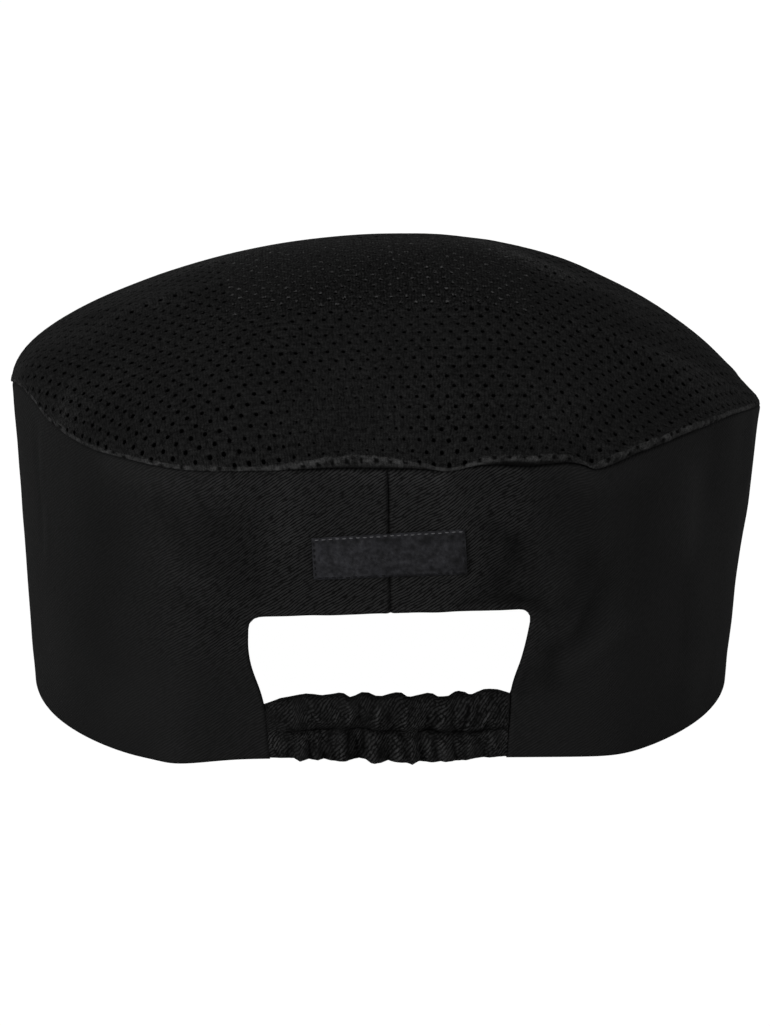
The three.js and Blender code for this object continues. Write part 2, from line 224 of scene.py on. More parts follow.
def closedCurve(rows, angle, column=1):
    turn = np.mod(angle, 360)
    knots = np.array([row[0] for row in rows], float)
    values = np.array([row[column] for row in rows], float)
    knots = np.concatenate([knots[-2:] - 360, knots, knots[:2] + 360])
    values = np.concatenate([values[-2:], values, values[:2]])
    slopes = np.zeros_like(values)
    slopes[1:-1] = (values[2:] - values[:-2]) / (knots[2:] - knots[:-2])
    at = np.searchsorted(knots, turn, side="right") - 1
    span = knots[at + 1] - knots[at]
    t = (turn - knots[at]) / span
    bend = t * (1 - t) ** 2 * span * slopes[at] - t * t * (1 - t) * span * slopes[at + 1]
    rise = t * t * (3 - 2 * t)
    return values[at] * (1 - rise) + values[at + 1] * rise + bend


def seamHeight(angle):
    return closedCurve(capShape["seamHeights"], angle)


def pulledPlan(oval, pulls, angle):
    turn = np.radians(angle)
    cos, sin = np.cos(turn), np.sin(turn)
    power = np.where(cos > 0, oval["leftPower"], oval["rightPower"])
    reach = np.where(sin > 0, oval["backReach"], oval["frontReach"])
    radius = (np.abs(cos / oval["halfWidth"]) ** power + np.abs(sin / reach) ** power) ** (-1 / power)
    blend = capShape["flatBlend"]
    past = (radius * sin - oval["flatBack"]) / blend
    y = radius * sin - blend * np.log1p(np.exp(np.minimum(past, 40)))
    plan = np.stack([radius * cos + oval["aside"], y], -1)
    inward = sum(pull * hump(np.mod(angle - at + 180, 360) - 180, spread) for at, spread, pull in pulls)
    return plan * (1 - inward / np.linalg.norm(plan, axis=-1))[..., None]


def seamPlan(angle):
    return pulledPlan(capShape["seam"], capShape["seamPulls"], angle)


def backFace(z):
    # how far back the flat part of the wall stands at a height
    rim, seam = capShape["rim"]["flatBack"], capShape["seam"]["flatBack"]
    slope = (seam - rim) / float(seamHeight(np.array(90.0)))
    return rim + slope * z + capShape["widestBehindMiddle"]


def foldField(points, rows, stretch=(1, 1)):
    # how far a table's folds lift the cloth, and the painted light and shade they put on it
    lift, tone = np.zeros(points.shape[:-1]), np.zeros(points.shape[:-1])
    for fromU, fromV, toU, toV, width, outward, shade in rows:
        start = np.array((fromU, fromV)) * stretch
        run = np.array((toU, toV)) * stretch - start
        offset = points - start
        along = np.clip((offset @ run) / (run @ run), capShape["foldEnd"], 1 - capShape["foldEnd"])
        share = hump(np.linalg.norm(offset - along[..., None] * run, axis=-1), width)
        lift += outward * share
        tone += shade * share
    return lift, tone


def rollAt(angle):
    height, outward, lip = (closedCurve(capShape["roll"], angle, column) for column in (1, 2, 3))
    return np.maximum(height, 0.5), np.maximum(outward, 0.15), lip


def ringNoise(angle, size, seed):
    # noise round the cap with features of a size in millimetres, that meets itself after a full turn
    count = int(round(2 * math.pi * capShape["seam"]["halfWidth"] / size))
    return valueNoise(np.mod(angle, 360) / 360 * count, seed, count)


# Shader nodes


class Signal:
    # a value in a shader tree, whose operators add maths nodes
    def __init__(self, tree, socket):
        self.tree = tree
        self.socket = socket

    def __add__(self, other):
        return maths(self.tree, "ADD", self, other)

    def __sub__(self, other):
        return maths(self.tree, "SUBTRACT", self, other)

    def __rsub__(self, other):
        return maths(self.tree, "SUBTRACT", other, self)

    def __mul__(self, other):
        return maths(self.tree, "MULTIPLY", self, other)

    def __truediv__(self, other):
        return maths(self.tree, "DIVIDE", self, other)


def plug(tree, socket, value):
    if isinstance(value, Signal):
        tree.links.new(value.socket, socket)
    else:
        socket.default_value = value


def maths(tree, operation, *values):
    node = tree.nodes.new("ShaderNodeMath")
    node.operation = operation
    for socket, value in zip(node.inputs, values):
        plug(tree, socket, value)
    return Signal(tree, node.outputs[0])


def rangeOf(value, fromLow, fromHigh, toLow, toHigh):
    node = value.tree.nodes.new("ShaderNodeMapRange")
    for socket, given in zip(node.inputs, (value, fromLow, fromHigh, toLow, toHigh)):
        plug(value.tree, socket, given)
    return Signal(value.tree, node.outputs[0])


def noiseOf(vector, scale, detail=2.0, roughness=0.5):
    node = vector.tree.nodes.new("ShaderNodeTexNoise")
    for key, value in (("Vector", vector), ("Scale", scale), ("Detail", detail), ("Roughness", roughness)):
        plug(vector.tree, node.inputs[key], value)
    return Signal(vector.tree, node.outputs["Fac"])


def inMillimetres(vector):
    node = vector.tree.nodes.new("ShaderNodeVectorMath")
    node.operation = "MULTIPLY"
    plug(vector.tree, node.inputs[0], vector)
    plug(vector.tree, node.inputs[1], (1 / metre, 1 / metre, 0.0))
    return Signal(vector.tree, node.outputs[0])


def splitVector(vector):
    node = vector.tree.nodes.new("ShaderNodeSeparateXYZ")
    plug(vector.tree, node.inputs[0], vector)
    return Signal(vector.tree, node.outputs[0]), Signal(vector.tree, node.outputs[1])


def ridge(phase, sharpness):
    # 1 on the middle of each turn of the phase and 0 between two turns
    share = maths(phase.tree, "FRACT", phase)
    fromMiddle = maths(phase.tree, "ABSOLUTE", share * 2.0 - 1.0)
    return 1.0 - maths(phase.tree, "POWER", fromMiddle, sharpness)


def mixColour(tree, share, low, high):
    node = tree.nodes.new("ShaderNodeMix")
    node.data_type = "RGBA"
    colours = [socket for socket in node.inputs if socket.type == "RGBA"]
    for socket, value in zip([node.inputs["Factor"]] + colours, (share, low, high)):
        plug(tree, socket, value)
    return Signal(tree, [socket for socket in node.outputs if socket.type == "RGBA"][0])


def scaledColour(colour, scale):
    node = colour.tree.nodes.new("ShaderNodeVectorMath")
    node.operation = "SCALE"
    plug(colour.tree, node.inputs[0], colour)
    plug(colour.tree, node.inputs["Scale"], scale)
    return Signal(colour.tree, node.outputs[0])


def attributeOf(tree, name):
    node = tree.nodes.new("ShaderNodeAttribute")
    node.attribute_name = name
    return Signal(tree, node.outputs["Fac"])


# Shader node groups


def newGroup(name, vector, numbers, outputs):
    # one vector input, number inputs with their usual values, and number outputs
    group = bpy.data.node_groups.new(name, "ShaderNodeTree")
    group.interface.new_socket(name=vector, in_out="INPUT", socket_type="NodeSocketVector")
    for key, usual in numbers.items():
        socket = group.interface.new_socket(name=key, in_out="INPUT", socket_type="NodeSocketFloat")
        socket.default_value = usual
    for key in outputs:
        group.interface.new_socket(name=key, in_out="OUTPUT", socket_type="NodeSocketFloat")
    sockets = group.nodes.new("NodeGroupInput").outputs
    given = {key: Signal(group, sockets[key]) for key in [vector] + list(numbers)}
    return group, given, group.nodes.new("NodeGroupOutput").inputs


def useGroup(tree, group, **values):
    node = tree.nodes.new("ShaderNodeGroup")
    node.node_tree = group
    for key, value in values.items():
        plug(tree, node.inputs[key.replace("_", " ")], value)
    return {socket.name: Signal(tree, socket) for socket in node.outputs}


def makeTwillGroup():
    # diagonal wales of twill, broken up by uneven yarn
    usual = {"Wale Spacing": 0.7, "Wale Angle": 0.58, "Waver": 2.2, "Breakup": 0.75, "Stroke Length": 1.8}
    group, given, out = newGroup("twillWales", "Cloth", usual, ("Height", "Shade"))
    cloth = inMillimetres(given["Cloth"])
    u, v = splitVector(cloth)
    sine, cosine = maths(group, "SINE", given["Wale Angle"]), maths(group, "COSINE", given["Wale Angle"])
    along = u * cosine + v * sine
    across = v * cosine - u * sine
    waver = (noiseOf(cloth, 0.13, 3.0) - 0.5) * given["Waver"]
    wale = ridge(across / given["Wale Spacing"] + waver, 1.5)
    stroke = group.nodes.new("ShaderNodeCombineXYZ")
    plug(group, stroke.inputs[0], along / given["Stroke Length"])
    plug(group, stroke.inputs[1], across * 1.25)
    uneven = rangeOf(noiseOf(Signal(group, stroke.outputs[0]), 1.0, 2.0, 0.6), 0.32, 0.62, 0.0, 1.0)
    kept = uneven * given["Breakup"] + (1.0 - given["Breakup"])
    height = wale * kept * 0.85 + noiseOf(cloth, 2.2, 2.0, 0.65) * 0.3
    plug(group, out["Height"], height)
    plug(group, out["Shade"], rangeOf(height, 0.26, 0.72, 0.0, 1.0))
    return group


def makeKnitGroup():
    # small uneven knitted loops
    usual = {"Loop Width": 0.8, "Loop Height": 0.66, "Lean": 0.9}
    group, given, out = newGroup("knitLoops", "Cloth", usual, ("Height", "Shade"))
    cloth = inMillimetres(given["Cloth"])
    drift = (noiseOf(cloth, 0.35, 2.0) - 0.5) * 2.4
    u, v = splitVector(cloth)
    leg = ridge(u / given["Loop Width"] + drift, 1.6)
    loop = ridge(v / given["Loop Height"] + leg * given["Lean"] + drift, 1.8)
    fuzz = rangeOf(noiseOf(cloth, 0.75, 3.0, 0.8), 0.34, 0.66, 0.0, 1.0)
    fleck = rangeOf(noiseOf(cloth, 1.25, 1.0, 0.6), 0.6, 0.74, 0.0, 1.0)
    height = leg * loop * 0.32 + fuzz * 0.6 + fleck * 0.35
    plug(group, out["Height"], height)
    plug(group, out["Shade"], rangeOf(height, 0.12, 1.05, 0.0, 1.0))
    return group


def makeRibGroup():
    # dense woven tape: fine ribs along the tape, crossed by its warp
    usual = {"Rib Spacing": 0.3, "Warp Spacing": 0.42}
    group, given, out = newGroup("tapeRibs", "Cloth", usual, ("Height", "Shade"))
    cloth = inMillimetres(given["Cloth"])
    u, v = splitVector(cloth)
    ribPhase = v / given["Rib Spacing"]
    rib = ridge(ribPhase, 2.0)
    warp = ridge(u / given["Warp Spacing"] + maths(group, "FLOOR", ribPhase) * 0.5, 2.0)
    speckle = noiseOf(cloth, 0.8, 4.0, 0.75)
    plug(group, out["Height"], rib * warp * 0.6 + speckle * 0.5)
    plug(group, out["Shade"], rangeOf(speckle, 0.3, 0.7, 0.0, 1.0))
    return group


def makeWearGroup():
    # slow differences of tone over a cloth, with a few pale specks of lint
    usual = {"Patch Size": 30.0, "Lint": 0.5}
    group, given, out = newGroup("clothWear", "Place", usual, ("Tone", "Lint Mask"))
    slow = noiseOf(given["Place"], maths(group, "DIVIDE", 1 / metre, given["Patch Size"]), 3.0)
    plug(group, out["Tone"], rangeOf(slow, 0.3, 0.7, 0.0, 1.0))
    specks = group.nodes.new("ShaderNodeTexVoronoi")
    plug(group, specks.inputs["Vector"], given["Place"])
    specks.inputs["Scale"].default_value = 420.0
    near = rangeOf(Signal(group, specks.outputs["Distance"]), 0.0, 0.12, 1.0, 0.0)
    rare = maths(group, "GREATER_THAN", noiseOf(given["Place"], 160.0, 1.0), 0.62)
    plug(group, out["Lint Mask"], near * rare * given["Lint"])
    return group


twillGroup = makeTwillGroup()
knitGroup = makeKnitGroup()
ribGroup = makeRibGroup()
wearGroup = makeWearGroup()


# Materials


def newMaterial(name, roughness=1.0, specular=0.0):
    material = bpy.data.materials.new(name)
    material.use_nodes = True
    tree = material.node_tree
    shader = tree.nodes["Principled BSDF"]
    plug(tree, shader.inputs["Roughness"], roughness)
    plug(tree, shader.inputs["Specular IOR Level"], specular)
    return material, tree, shader


def clothMap(tree):
    node = tree.nodes.new("ShaderNodeUVMap")
    node.uv_map = "ClothUV"
    return Signal(tree, node.outputs["UV"])


def addBump(tree, shader, height, strength, depth):
    bump = tree.nodes.new("ShaderNodeBump")
    for key, value in (("Strength", strength), ("Distance", depth), ("Height", height)):
        plug(tree, bump.inputs[key], value)
    tree.links.new(bump.outputs["Normal"], shader.inputs["Normal"])


def clothMaterial(name, look, weave, **weaveValues):
    # a look with evenShade fades its weave by the attribute weaveClear; one with a colour for the roll's
    # painted highlight is brightened by that attribute, one with a colour for painted shade in crevices
    # is darkened by that attribute, and every look takes painted light and shade from its fold tone attribute
    material, tree, shader = newMaterial(name, specular=look["specular"])
    place = Signal(tree, tree.nodes.new("ShaderNodeTexCoord").outputs["Object"])
    woven = useGroup(tree, weave, Cloth=clothMap(tree), **weaveValues)
    wear = useGroup(tree, wearGroup, Place=place, Patch_Size=look["patchSize"], Lint=look["lint"])
    shade = woven["Shade"]
    if "evenShade" in look:
        shade = (shade - look["evenShade"]) * attributeOf(tree, "weaveClear") + look["evenShade"]
    toned = mixColour(tree, shade, look["lowColour"], look["highColour"])
    toned = mixColour(tree, wear["Tone"] * look["toneShare"], toned, look["fadedColour"])
    # painted highlight on the roll of mesh over the seam, following the weave
    if "rollHighlightColour" in look:
        rollHighlight = attributeOf(tree, "rollHighlight") * rangeOf(woven["Shade"], 0.1, 0.8, 0.3, 1.0)
        toned = mixColour(tree, rollHighlight, toned, look["rollHighlightColour"])
    darkest, roughSwing = 0.08, 0.08
    # painted light and shade along folds and edges, with tone that differs at random
    scale = attributeOf(tree, "paintedLightAndTone") * look["toneGain"] + 1.0
    toned = scaledColour(toned, maths(tree, "MAXIMUM", scale, darkest))
    # painted shade in crevices: seams, holes, pits, stitched creases and under the roll of mesh
    if "creviceShadeColour" in look:
        toned = mixColour(tree, attributeOf(tree, "creviceShade"), toned, look["creviceShadeColour"])
    plug(tree, shader.inputs["Base Color"], mixColour(tree, wear["Lint Mask"], toned, look["lintColour"]))
    rough = rangeOf(woven["Height"], 0.0, 1.0, look["roughness"] + roughSwing, look["roughness"] - roughSwing)
    plug(tree, shader.inputs["Roughness"], rough)
    addBump(tree, shader, woven["Height"], look["bumpStrength"], look["bumpDepth"])
    return material


def threadMaterial(name, colour, roughness):
    # twisted sewing thread: a diagonal twist along each stitch
    material, tree, shader = newMaterial(name, roughness, specular=0.25)
    u, v = splitVector(inMillimetres(clothMap(tree)))
    twist = ridge(u * 3.2 + v * 1.4, 2.0)
    dark = tuple(0.55 * c for c in colour[:3]) + (1.0,)
    plug(tree, shader.inputs["Base Color"], mixColour(tree, twist, dark, colour))
    addBump(tree, shader, twist, 0.6, 0.00006)
    return material


# Side band

# In each look patchSize is in millimetres and bumpDepth in metres.
bandLook = {
    "evenShade": 0.42,
    # colour of the painted shade in the centre seam and under the roll
    "creviceShadeColour": (0.0008, 0.0008, 0.0008, 1),
    "toneGain": 0.6,
    "lowColour": (0.0008, 0.0008, 0.0008, 1),
    "highColour": (0.0295, 0.0295, 0.0298, 1),
    "fadedColour": (0.0105, 0.0105, 0.0108, 1),
    "lintColour": (0.05, 0.05, 0.05, 1),
    "toneShare": 0.22,
    "patchSize": 42.0,
    "lint": 0.25,
    "roughness": 0.8,
    "specular": 0.16,
    "bumpStrength": 0.8,
    "bumpDepth": 0.00022,
}

band = {
    "height": 77.0,
    "seamAngle": 89.6,
    # degrees that the centre seam turns from the rim to the crown, level where it is at its angle,
    # level that it starts to turn from, and reach of the cloth that turns with it
    "seamLean": 1.83,
    "seamLeanLevel": 0.66,
    "seamLeanFrom": 0.42,
    "seamLeanReach": 18,
    # columns beside the centre seam, and rows at the rim and under the crown
    "seamColumns": (0, 0.16, 0.34, 0.58, 0.9, 1.4),
    "rimRows": (0, 0.1, 0.28, 0.55, 0.9, 1.4),
    "topRows": (0, 0.1, 0.28, 0.5, 0.75, 1.0, 1.3, 1.7, 2.2),
    "backReach": 92,
    "backStep": 1.15,
    "frontStep": 2.3,
    "rowStep": 1.35,
    "edgeRounding": 1.0,
    "seamDepth": 0.7,
    "seamWidth": 0.42,
    "seamRidge": 0.13,
    "seamFade": 0.1,
    "seamFadeBelow": 50,
    "underRoll": 0.7,
    # angle and how strongly the wales show, a painted highlight on the weave that is strongest at the back
    "waleClear": [
        (0, 0.12), (30, 0.12), (50, 0.3), (64, 0.75), (74, 1.25), (104, 1.25), (111, 0.6), (118, 0.2),
        (150, 0.1), (180, 0.12), (270, 0.3),
    ],
    "softness": 0.28,
    "dragged": 0.28,
    # from angle and height, to angle and height, width, outward, and the painted highlight (above 0) or
    # painted shade (below 0) on the cloth
    "folds": [
        (58.5, 68, 70, 36, 4.6, 1.4, 0.05), (58.2, 68, 66, 50, 1.8, -0.1, -0.22),
        (57, 56, 61, 47, 4, 0.1, 0.22), (56, 72, 62, 52, 3.5, -0.2, -0.35),
        (60.5, 73, 67, 60, 3.4, -0.8, -0.35), (54.9, 74, 55.2, 65, 1.6, -0.3, -0.4),
        (71, 56, 73, 42, 2, -0.5, -0.15), (59, 45, 69, 33, 3.2, -0.8, -0.36),
        (44, 66, 42, 22, 10, -0.6, -0.4), (22.4, 80, 25.7, 34, 0.9, 0.4, 0.8),
        (20.8, 77, 23.4, 40, 1.6, -0.3, -0.35), (44, 75, 56, 72.5, 4, 0.5, 0.5),
        (54, 72.5, 68, 72, 4.5, 0.4, 0.5), (75.5, 77, 76, 55, 4.5, 0.6, 0.45),
        (90.5, 74, 90.5, 62, 4, 0.2, 0.25), (69, 62, 70, 46, 6, -0.7, -0.45), (26, 24, 30, 10, 9, 0.3, 0.4),
        (50, 14, 72, 12, 9, 0.3, 0.3), (96, 74, 98, 60, 5, 0.5, 0.35), (99, 75, 105, 69, 4, -0.3, -0.25),
        (103.4, 62, 103.2, 47, 2, -0.4, -0.35), (109, 42, 98, 41.4, 2, -0.4, -0.65),
        (107, 55, 110, 45, 2.5, -0.4, -0.35), (102, 63, 107, 57, 2.6, -0.8, -0.45),
        (107.2, 58, 105.2, 46, 2.8, -0.9, -0.65), (103, 46, 110.5, 40, 3.2, -0.8, -0.6),
        (112, 72, 112, 52, 8, -0.5, -0.45), (118, 68, 118, 50, 6, -0.5, -0.35),
        (123.3, 57, 114.5, 30, 1.6, 0.55, 0.12), (121, 52, 116, 38, 4.5, -1.4, -0.45),
        (122.5, 47, 117, 29, 3.4, -1.3, -0.5), (109.5, 41, 113, 37, 2.2, -0.3, -0.4),
        (113.5, 29, 111, 20, 3, -0.3, -0.35), (121, 48, 120.5, 43, 1.8, 0.1, 0.3),
        (115.7, 31, 115.6, 25, 2, -0.2, -0.3), (108, 24, 108, 17, 2.5, -0.3, -0.4),
        (128, 68, 127.8, 40, 6.5, -0.5, -0.2), (141, 68, 141, 48, 5.5, 0.7, 0.65),
        (126.5, 35, 113, 22.5, 3.2, 0.8, 0.4), (112.8, 30, 113, 17, 2.5, -0.5, -0.4),
        (151, 80, 149, 60, 6.5, -0.5, -0.5), (166, 74, 168.5, 56, 4, 0.8, 0.4),
        (178, 82, 177, 8, 7, 0, -0.8), (5, 82, 4, 48, 7, 0, -0.95), (3, 50, 3, 8, 5, 0, -0.35),
        (79, 75.5, 99, 75.5, 2, 0, 0.7), (57, 3, 69, 2, 4, 0, 0.3), (147.5, 18, 146, 2, 6, 0.3, 0.3),
        (140.4, 40, 141, 22, 5, -0.4, -0.35), (115, 74, 129, 73, 4, 0.4, 0.33),
        (176, 84, 176, 44, 12, 0.5, 0),
    ],
    "foldFreeLevel": 0.25,
    # corners of the opening seen from behind: x, z and radius
    "opening": [
        (36.4, 37.9, 3.5), (36.6, 27, 5), (32.4, 15.5, 5), (30.6, -6, 0),
        (-28.7, -6, 0), (-29.6, 17.5, 5), (-33.2, 28.5, 5), (-35.4, 39.5, 3.5),
    ],
    "openingLevels": (0.0, 0.14, 0.36, 0.68, 1.1, 2.0),
    "openingLip": 0.16,
}


def wallFolds(angle, height):
    perDegree = capShape["rim"]["halfWidth"] * math.pi / 180
    onWall = np.stack([np.mod(angle, 360) * perDegree, height], -1)
    return foldField(onWall, band["folds"], (perDegree, 1))


def wallOuter(angle, level):
    low, high = pulledPlan(capShape["rim"], capShape["rimPulls"], angle), seamPlan(angle)
    plan = low + (high - low) * level[..., None]
    height = level * (seamHeight(angle) - capShape["pieceGap"])
    outward = wallFolds(angle, height)[0] * np.minimum(1, level / band["foldFreeLevel"])
    plan = plan * (1 + outward / np.linalg.norm(plan, axis=-1))[..., None]
    return np.concatenate([plan, height[..., None]], -1) + np.array([0, capShape["widestBehindMiddle"], 0])


def wallNormal(angle, level):
    across = wallOuter(angle + 0.4, level) - wallOuter(angle - 0.4, level)
    up = wallOuter(angle, np.minimum(level + 0.02, 1)) - wallOuter(angle, np.maximum(level - 0.02, 0))
    return unit(np.cross(across, up))


def roundedCorners(corners, steps=8):
    outline = []
    for i, (x, z, radius) in enumerate(corners):
        here = np.array([x, z], float)
        before = np.array(corners[i - 1][:2], float)
        after = np.array(corners[(i + 1) % len(corners)][:2], float)
        start, end = here + unit(before - here) * radius, here + unit(after - here) * radius
        shares = np.linspace(0, 1, steps) if radius else [0]
        outline += [start * (1 - t) ** 2 + here * 2 * t * (1 - t) + end * t * t for t in shares]
    return np.array(outline)


def distanceOutside(points, outline):
    # signed distance from a closed outline, positive outside it
    ends = np.roll(outline, -1, axis=0)
    run = ends - outline
    offset = points[:, None, :] - outline[None]
    along = np.clip((offset * run).sum(-1) / np.maximum((run * run).sum(-1), 1e-9), 0, 1)
    nearest = np.linalg.norm(offset - along[..., None] * run, axis=-1).min(1)
    crosses = (outline[None, :, 1] > points[:, None, 1]) != (ends[None, :, 1] > points[:, None, 1])
    slope = run[:, 0] / np.where(np.abs(run[:, 1]) < 1e-9, 1e-9, run[:, 1])
    hit = points[:, None, 0] < outline[None, :, 0] + slope * (points[:, None, 1] - outline[None, :, 1])
    inside = (crosses & hit).sum(1) % 2 == 1
    return np.where(inside, -nearest, nearest)


def edgeProfile(distance, rounding):
    # share of the thickness at a distance from a turned edge
    share = np.clip(distance / rounding, 0, 1)
    return np.sqrt(np.maximum(1 - (1 - share) ** 2, 0))


def bandGrid():
    # points of level, distance round the cap from the centre seam, and angle
    denseAngles = band["seamAngle"] + np.linspace(0, 360, 3601)
    ring = wallOuter(denseAngles, np.full(len(denseAngles), 0.6))
    lengths = np.concatenate([[0], np.cumsum(np.linalg.norm(np.diff(ring, axis=0), axis=1))])
    around = lengths[-1]
    half = np.concatenate([band["seamColumns"], np.arange(2.2, band["backReach"], band["backStep"])])
    frontCount = int((around - 2 * half[-1]) / band["frontStep"])
    front = np.linspace(half[-1], around - half[-1], frontCount)[1:-1]
    columns = np.concatenate([half, front, (around - half)[::-1]])
    height = band["height"]
    middleRows = np.arange(2.4, height - 2.6, band["rowStep"])
    rows = np.concatenate([band["rimRows"], middleRows, height - np.array(band["topRows"])[::-1]]) / height
    grid = np.stack(np.meshgrid(rows, columns, indexing="ij"), -1).reshape(-1, 2)
    lean = band["seamLean"] * (band["seamLeanLevel"] - np.maximum(grid[:, 0], band["seamLeanFrom"]))
    lean = lean * hump(np.minimum(grid[:, 1], around - grid[:, 1]), band["seamLeanReach"])
    angle = np.interp(grid[:, 1], lengths, denseAngles) + lean
    return np.concatenate([grid, angle[:, None]], 1), gridFaces(len(rows), len(columns)), around


def makeBand():
    points, faces, around = bandGrid()
    place = wallOuter(points[:, 2], points[:, 0])
    fromOpening = np.full(len(points), 60.0)
    nearBack = (place[:, 1] > 40) & (np.abs(place[:, 0]) < 60)
    fromOpening[nearBack] = distanceOutside(place[nearBack][:, [0, 2]], roundedCorners(band["opening"]))
    for level in band["openingLevels"]:
        points, faces, fromOpening = splitAlong(points, faces, fromOpening, level)
    faces = keepAbove(faces, fromOpening, 0)
    level, along, angle = points.T
    height, fromTop = level * band["height"], (1 - level) * band["height"]
    cloth = np.stack([along, height], -1)
    fromSeam = np.minimum(along, around - along)
    normal = wallNormal(angle, level)

    seamShown = 1 - band["seamFade"] * smoothRise(band["seamFadeBelow"] - height, 0, 6)
    seam = band["seamRidge"] * hump(fromSeam - 1.3, 0.7)
    seam -= band["seamDepth"] * seamShown * hump(fromSeam, band["seamWidth"])
    lip = band["openingLip"] * hump(fromOpening - 1.3, 0.8) * smoothRise(height, 0, 4)
    dragged = band["dragged"] * np.exp(-fromOpening / 9) * valueNoise(along / 5.5 + height / 14, 11)
    soft = band["softness"] * valueNoise2(along / 21, height / 17 + 3, 5)
    soft = soft + 0.1 * patchNoise(cloth, 7, 9, 0, 6) + dragged
    soft = soft * smoothRise(height, 0, 9) * smoothRise(fromTop, 0, 6)
    underRoll = smoothRise(rollAt(angle)[2], 0.2, 1.4) * hump(fromTop, 0.4)
    outer = wallOuter(angle, level) + normal * (seam + lip + soft - band["underRoll"] * underRoll)[:, None]
    fromEdge = np.minimum(np.minimum(height, fromTop), fromOpening)
    profile = edgeProfile(fromEdge, band["edgeRounding"])[:, None]
    flat = unit(normal * np.array([1, 1, 0])) * capShape["wallThickness"] / 2
    bothFaces = np.concatenate([outer - flat * (1 - profile), outer - flat * (1 + profile)])

    # painted shade under the roll of mesh and in the centre seam, uneven along its stitches
    stitchDips = 0.65 + 0.35 * valueNoise(height / 1.1, 12)
    seamHalf = 0.45 + 0.2 * valueNoise(height / 1.7, 13)
    creviceShade = np.maximum(0.4 * underRoll, 0.8 * seamShown * stitchDips * hump(fromSeam, seamHalf))
    # painted highlight on the wales, fading towards the rim
    clear = closedCurve(band["waleClear"], angle) * (0.3 + 0.7 * smoothRise(height, 20, 36))
    # painted light and shade along the folds, with tone that differs at random
    paintedLightAndTone = wallFolds(angle, height)[1] + 0.12 * patchNoise(cloth, 14, 11, 60, 7)
    # a painted highlight just inside the opening's turned edge, and painted shade on the edge itself
    paintedLightAndTone += 0.25 * hump(fromOpening - 0.9, 0.5) - 0.3 * hump(fromOpening, 0.35)
    tones = {
        "creviceShade": firstSide(creviceShade),
        "weaveClear": firstSide(clear, 0.4),
        "paintedLightAndTone": firstSide(paintedLightAndTone),
    }
    newPiece("side_band_cloth", bothFaces, bothSides(faces, len(points)),
             clothMaterial("blackTwill", bandLook, twillGroup),
             cloth=np.concatenate([cloth, cloth]), tones=tones, node="side_band")


makeBand()


# Crown

crownLook = {
    "toneGain": 1.0,
    "lowColour": (0.0008, 0.0008, 0.0008, 1),
    "evenShade": 0.5,
    "highColour": (0.0388, 0.0388, 0.0388, 1),
    "fadedColour": (0.0198, 0.0198, 0.02, 1),
    # colour of the painted highlight on the roll
    "rollHighlightColour": (0.095, 0.095, 0.095, 1),
    # colour of the painted shade in the holes, the roll's pits and under the roll
    "creviceShadeColour": (0.0008, 0.0008, 0.0008, 1),
    "lintColour": (0.05, 0.05, 0.05, 1),
    "toneShare": 0.2,
    "patchSize": 38.0,
    "lint": 0.3,
    "roughness": 0.85,
    "specular": 0.12,
    "bumpStrength": 0.9,
    "bumpDepth": 0.00024,
}

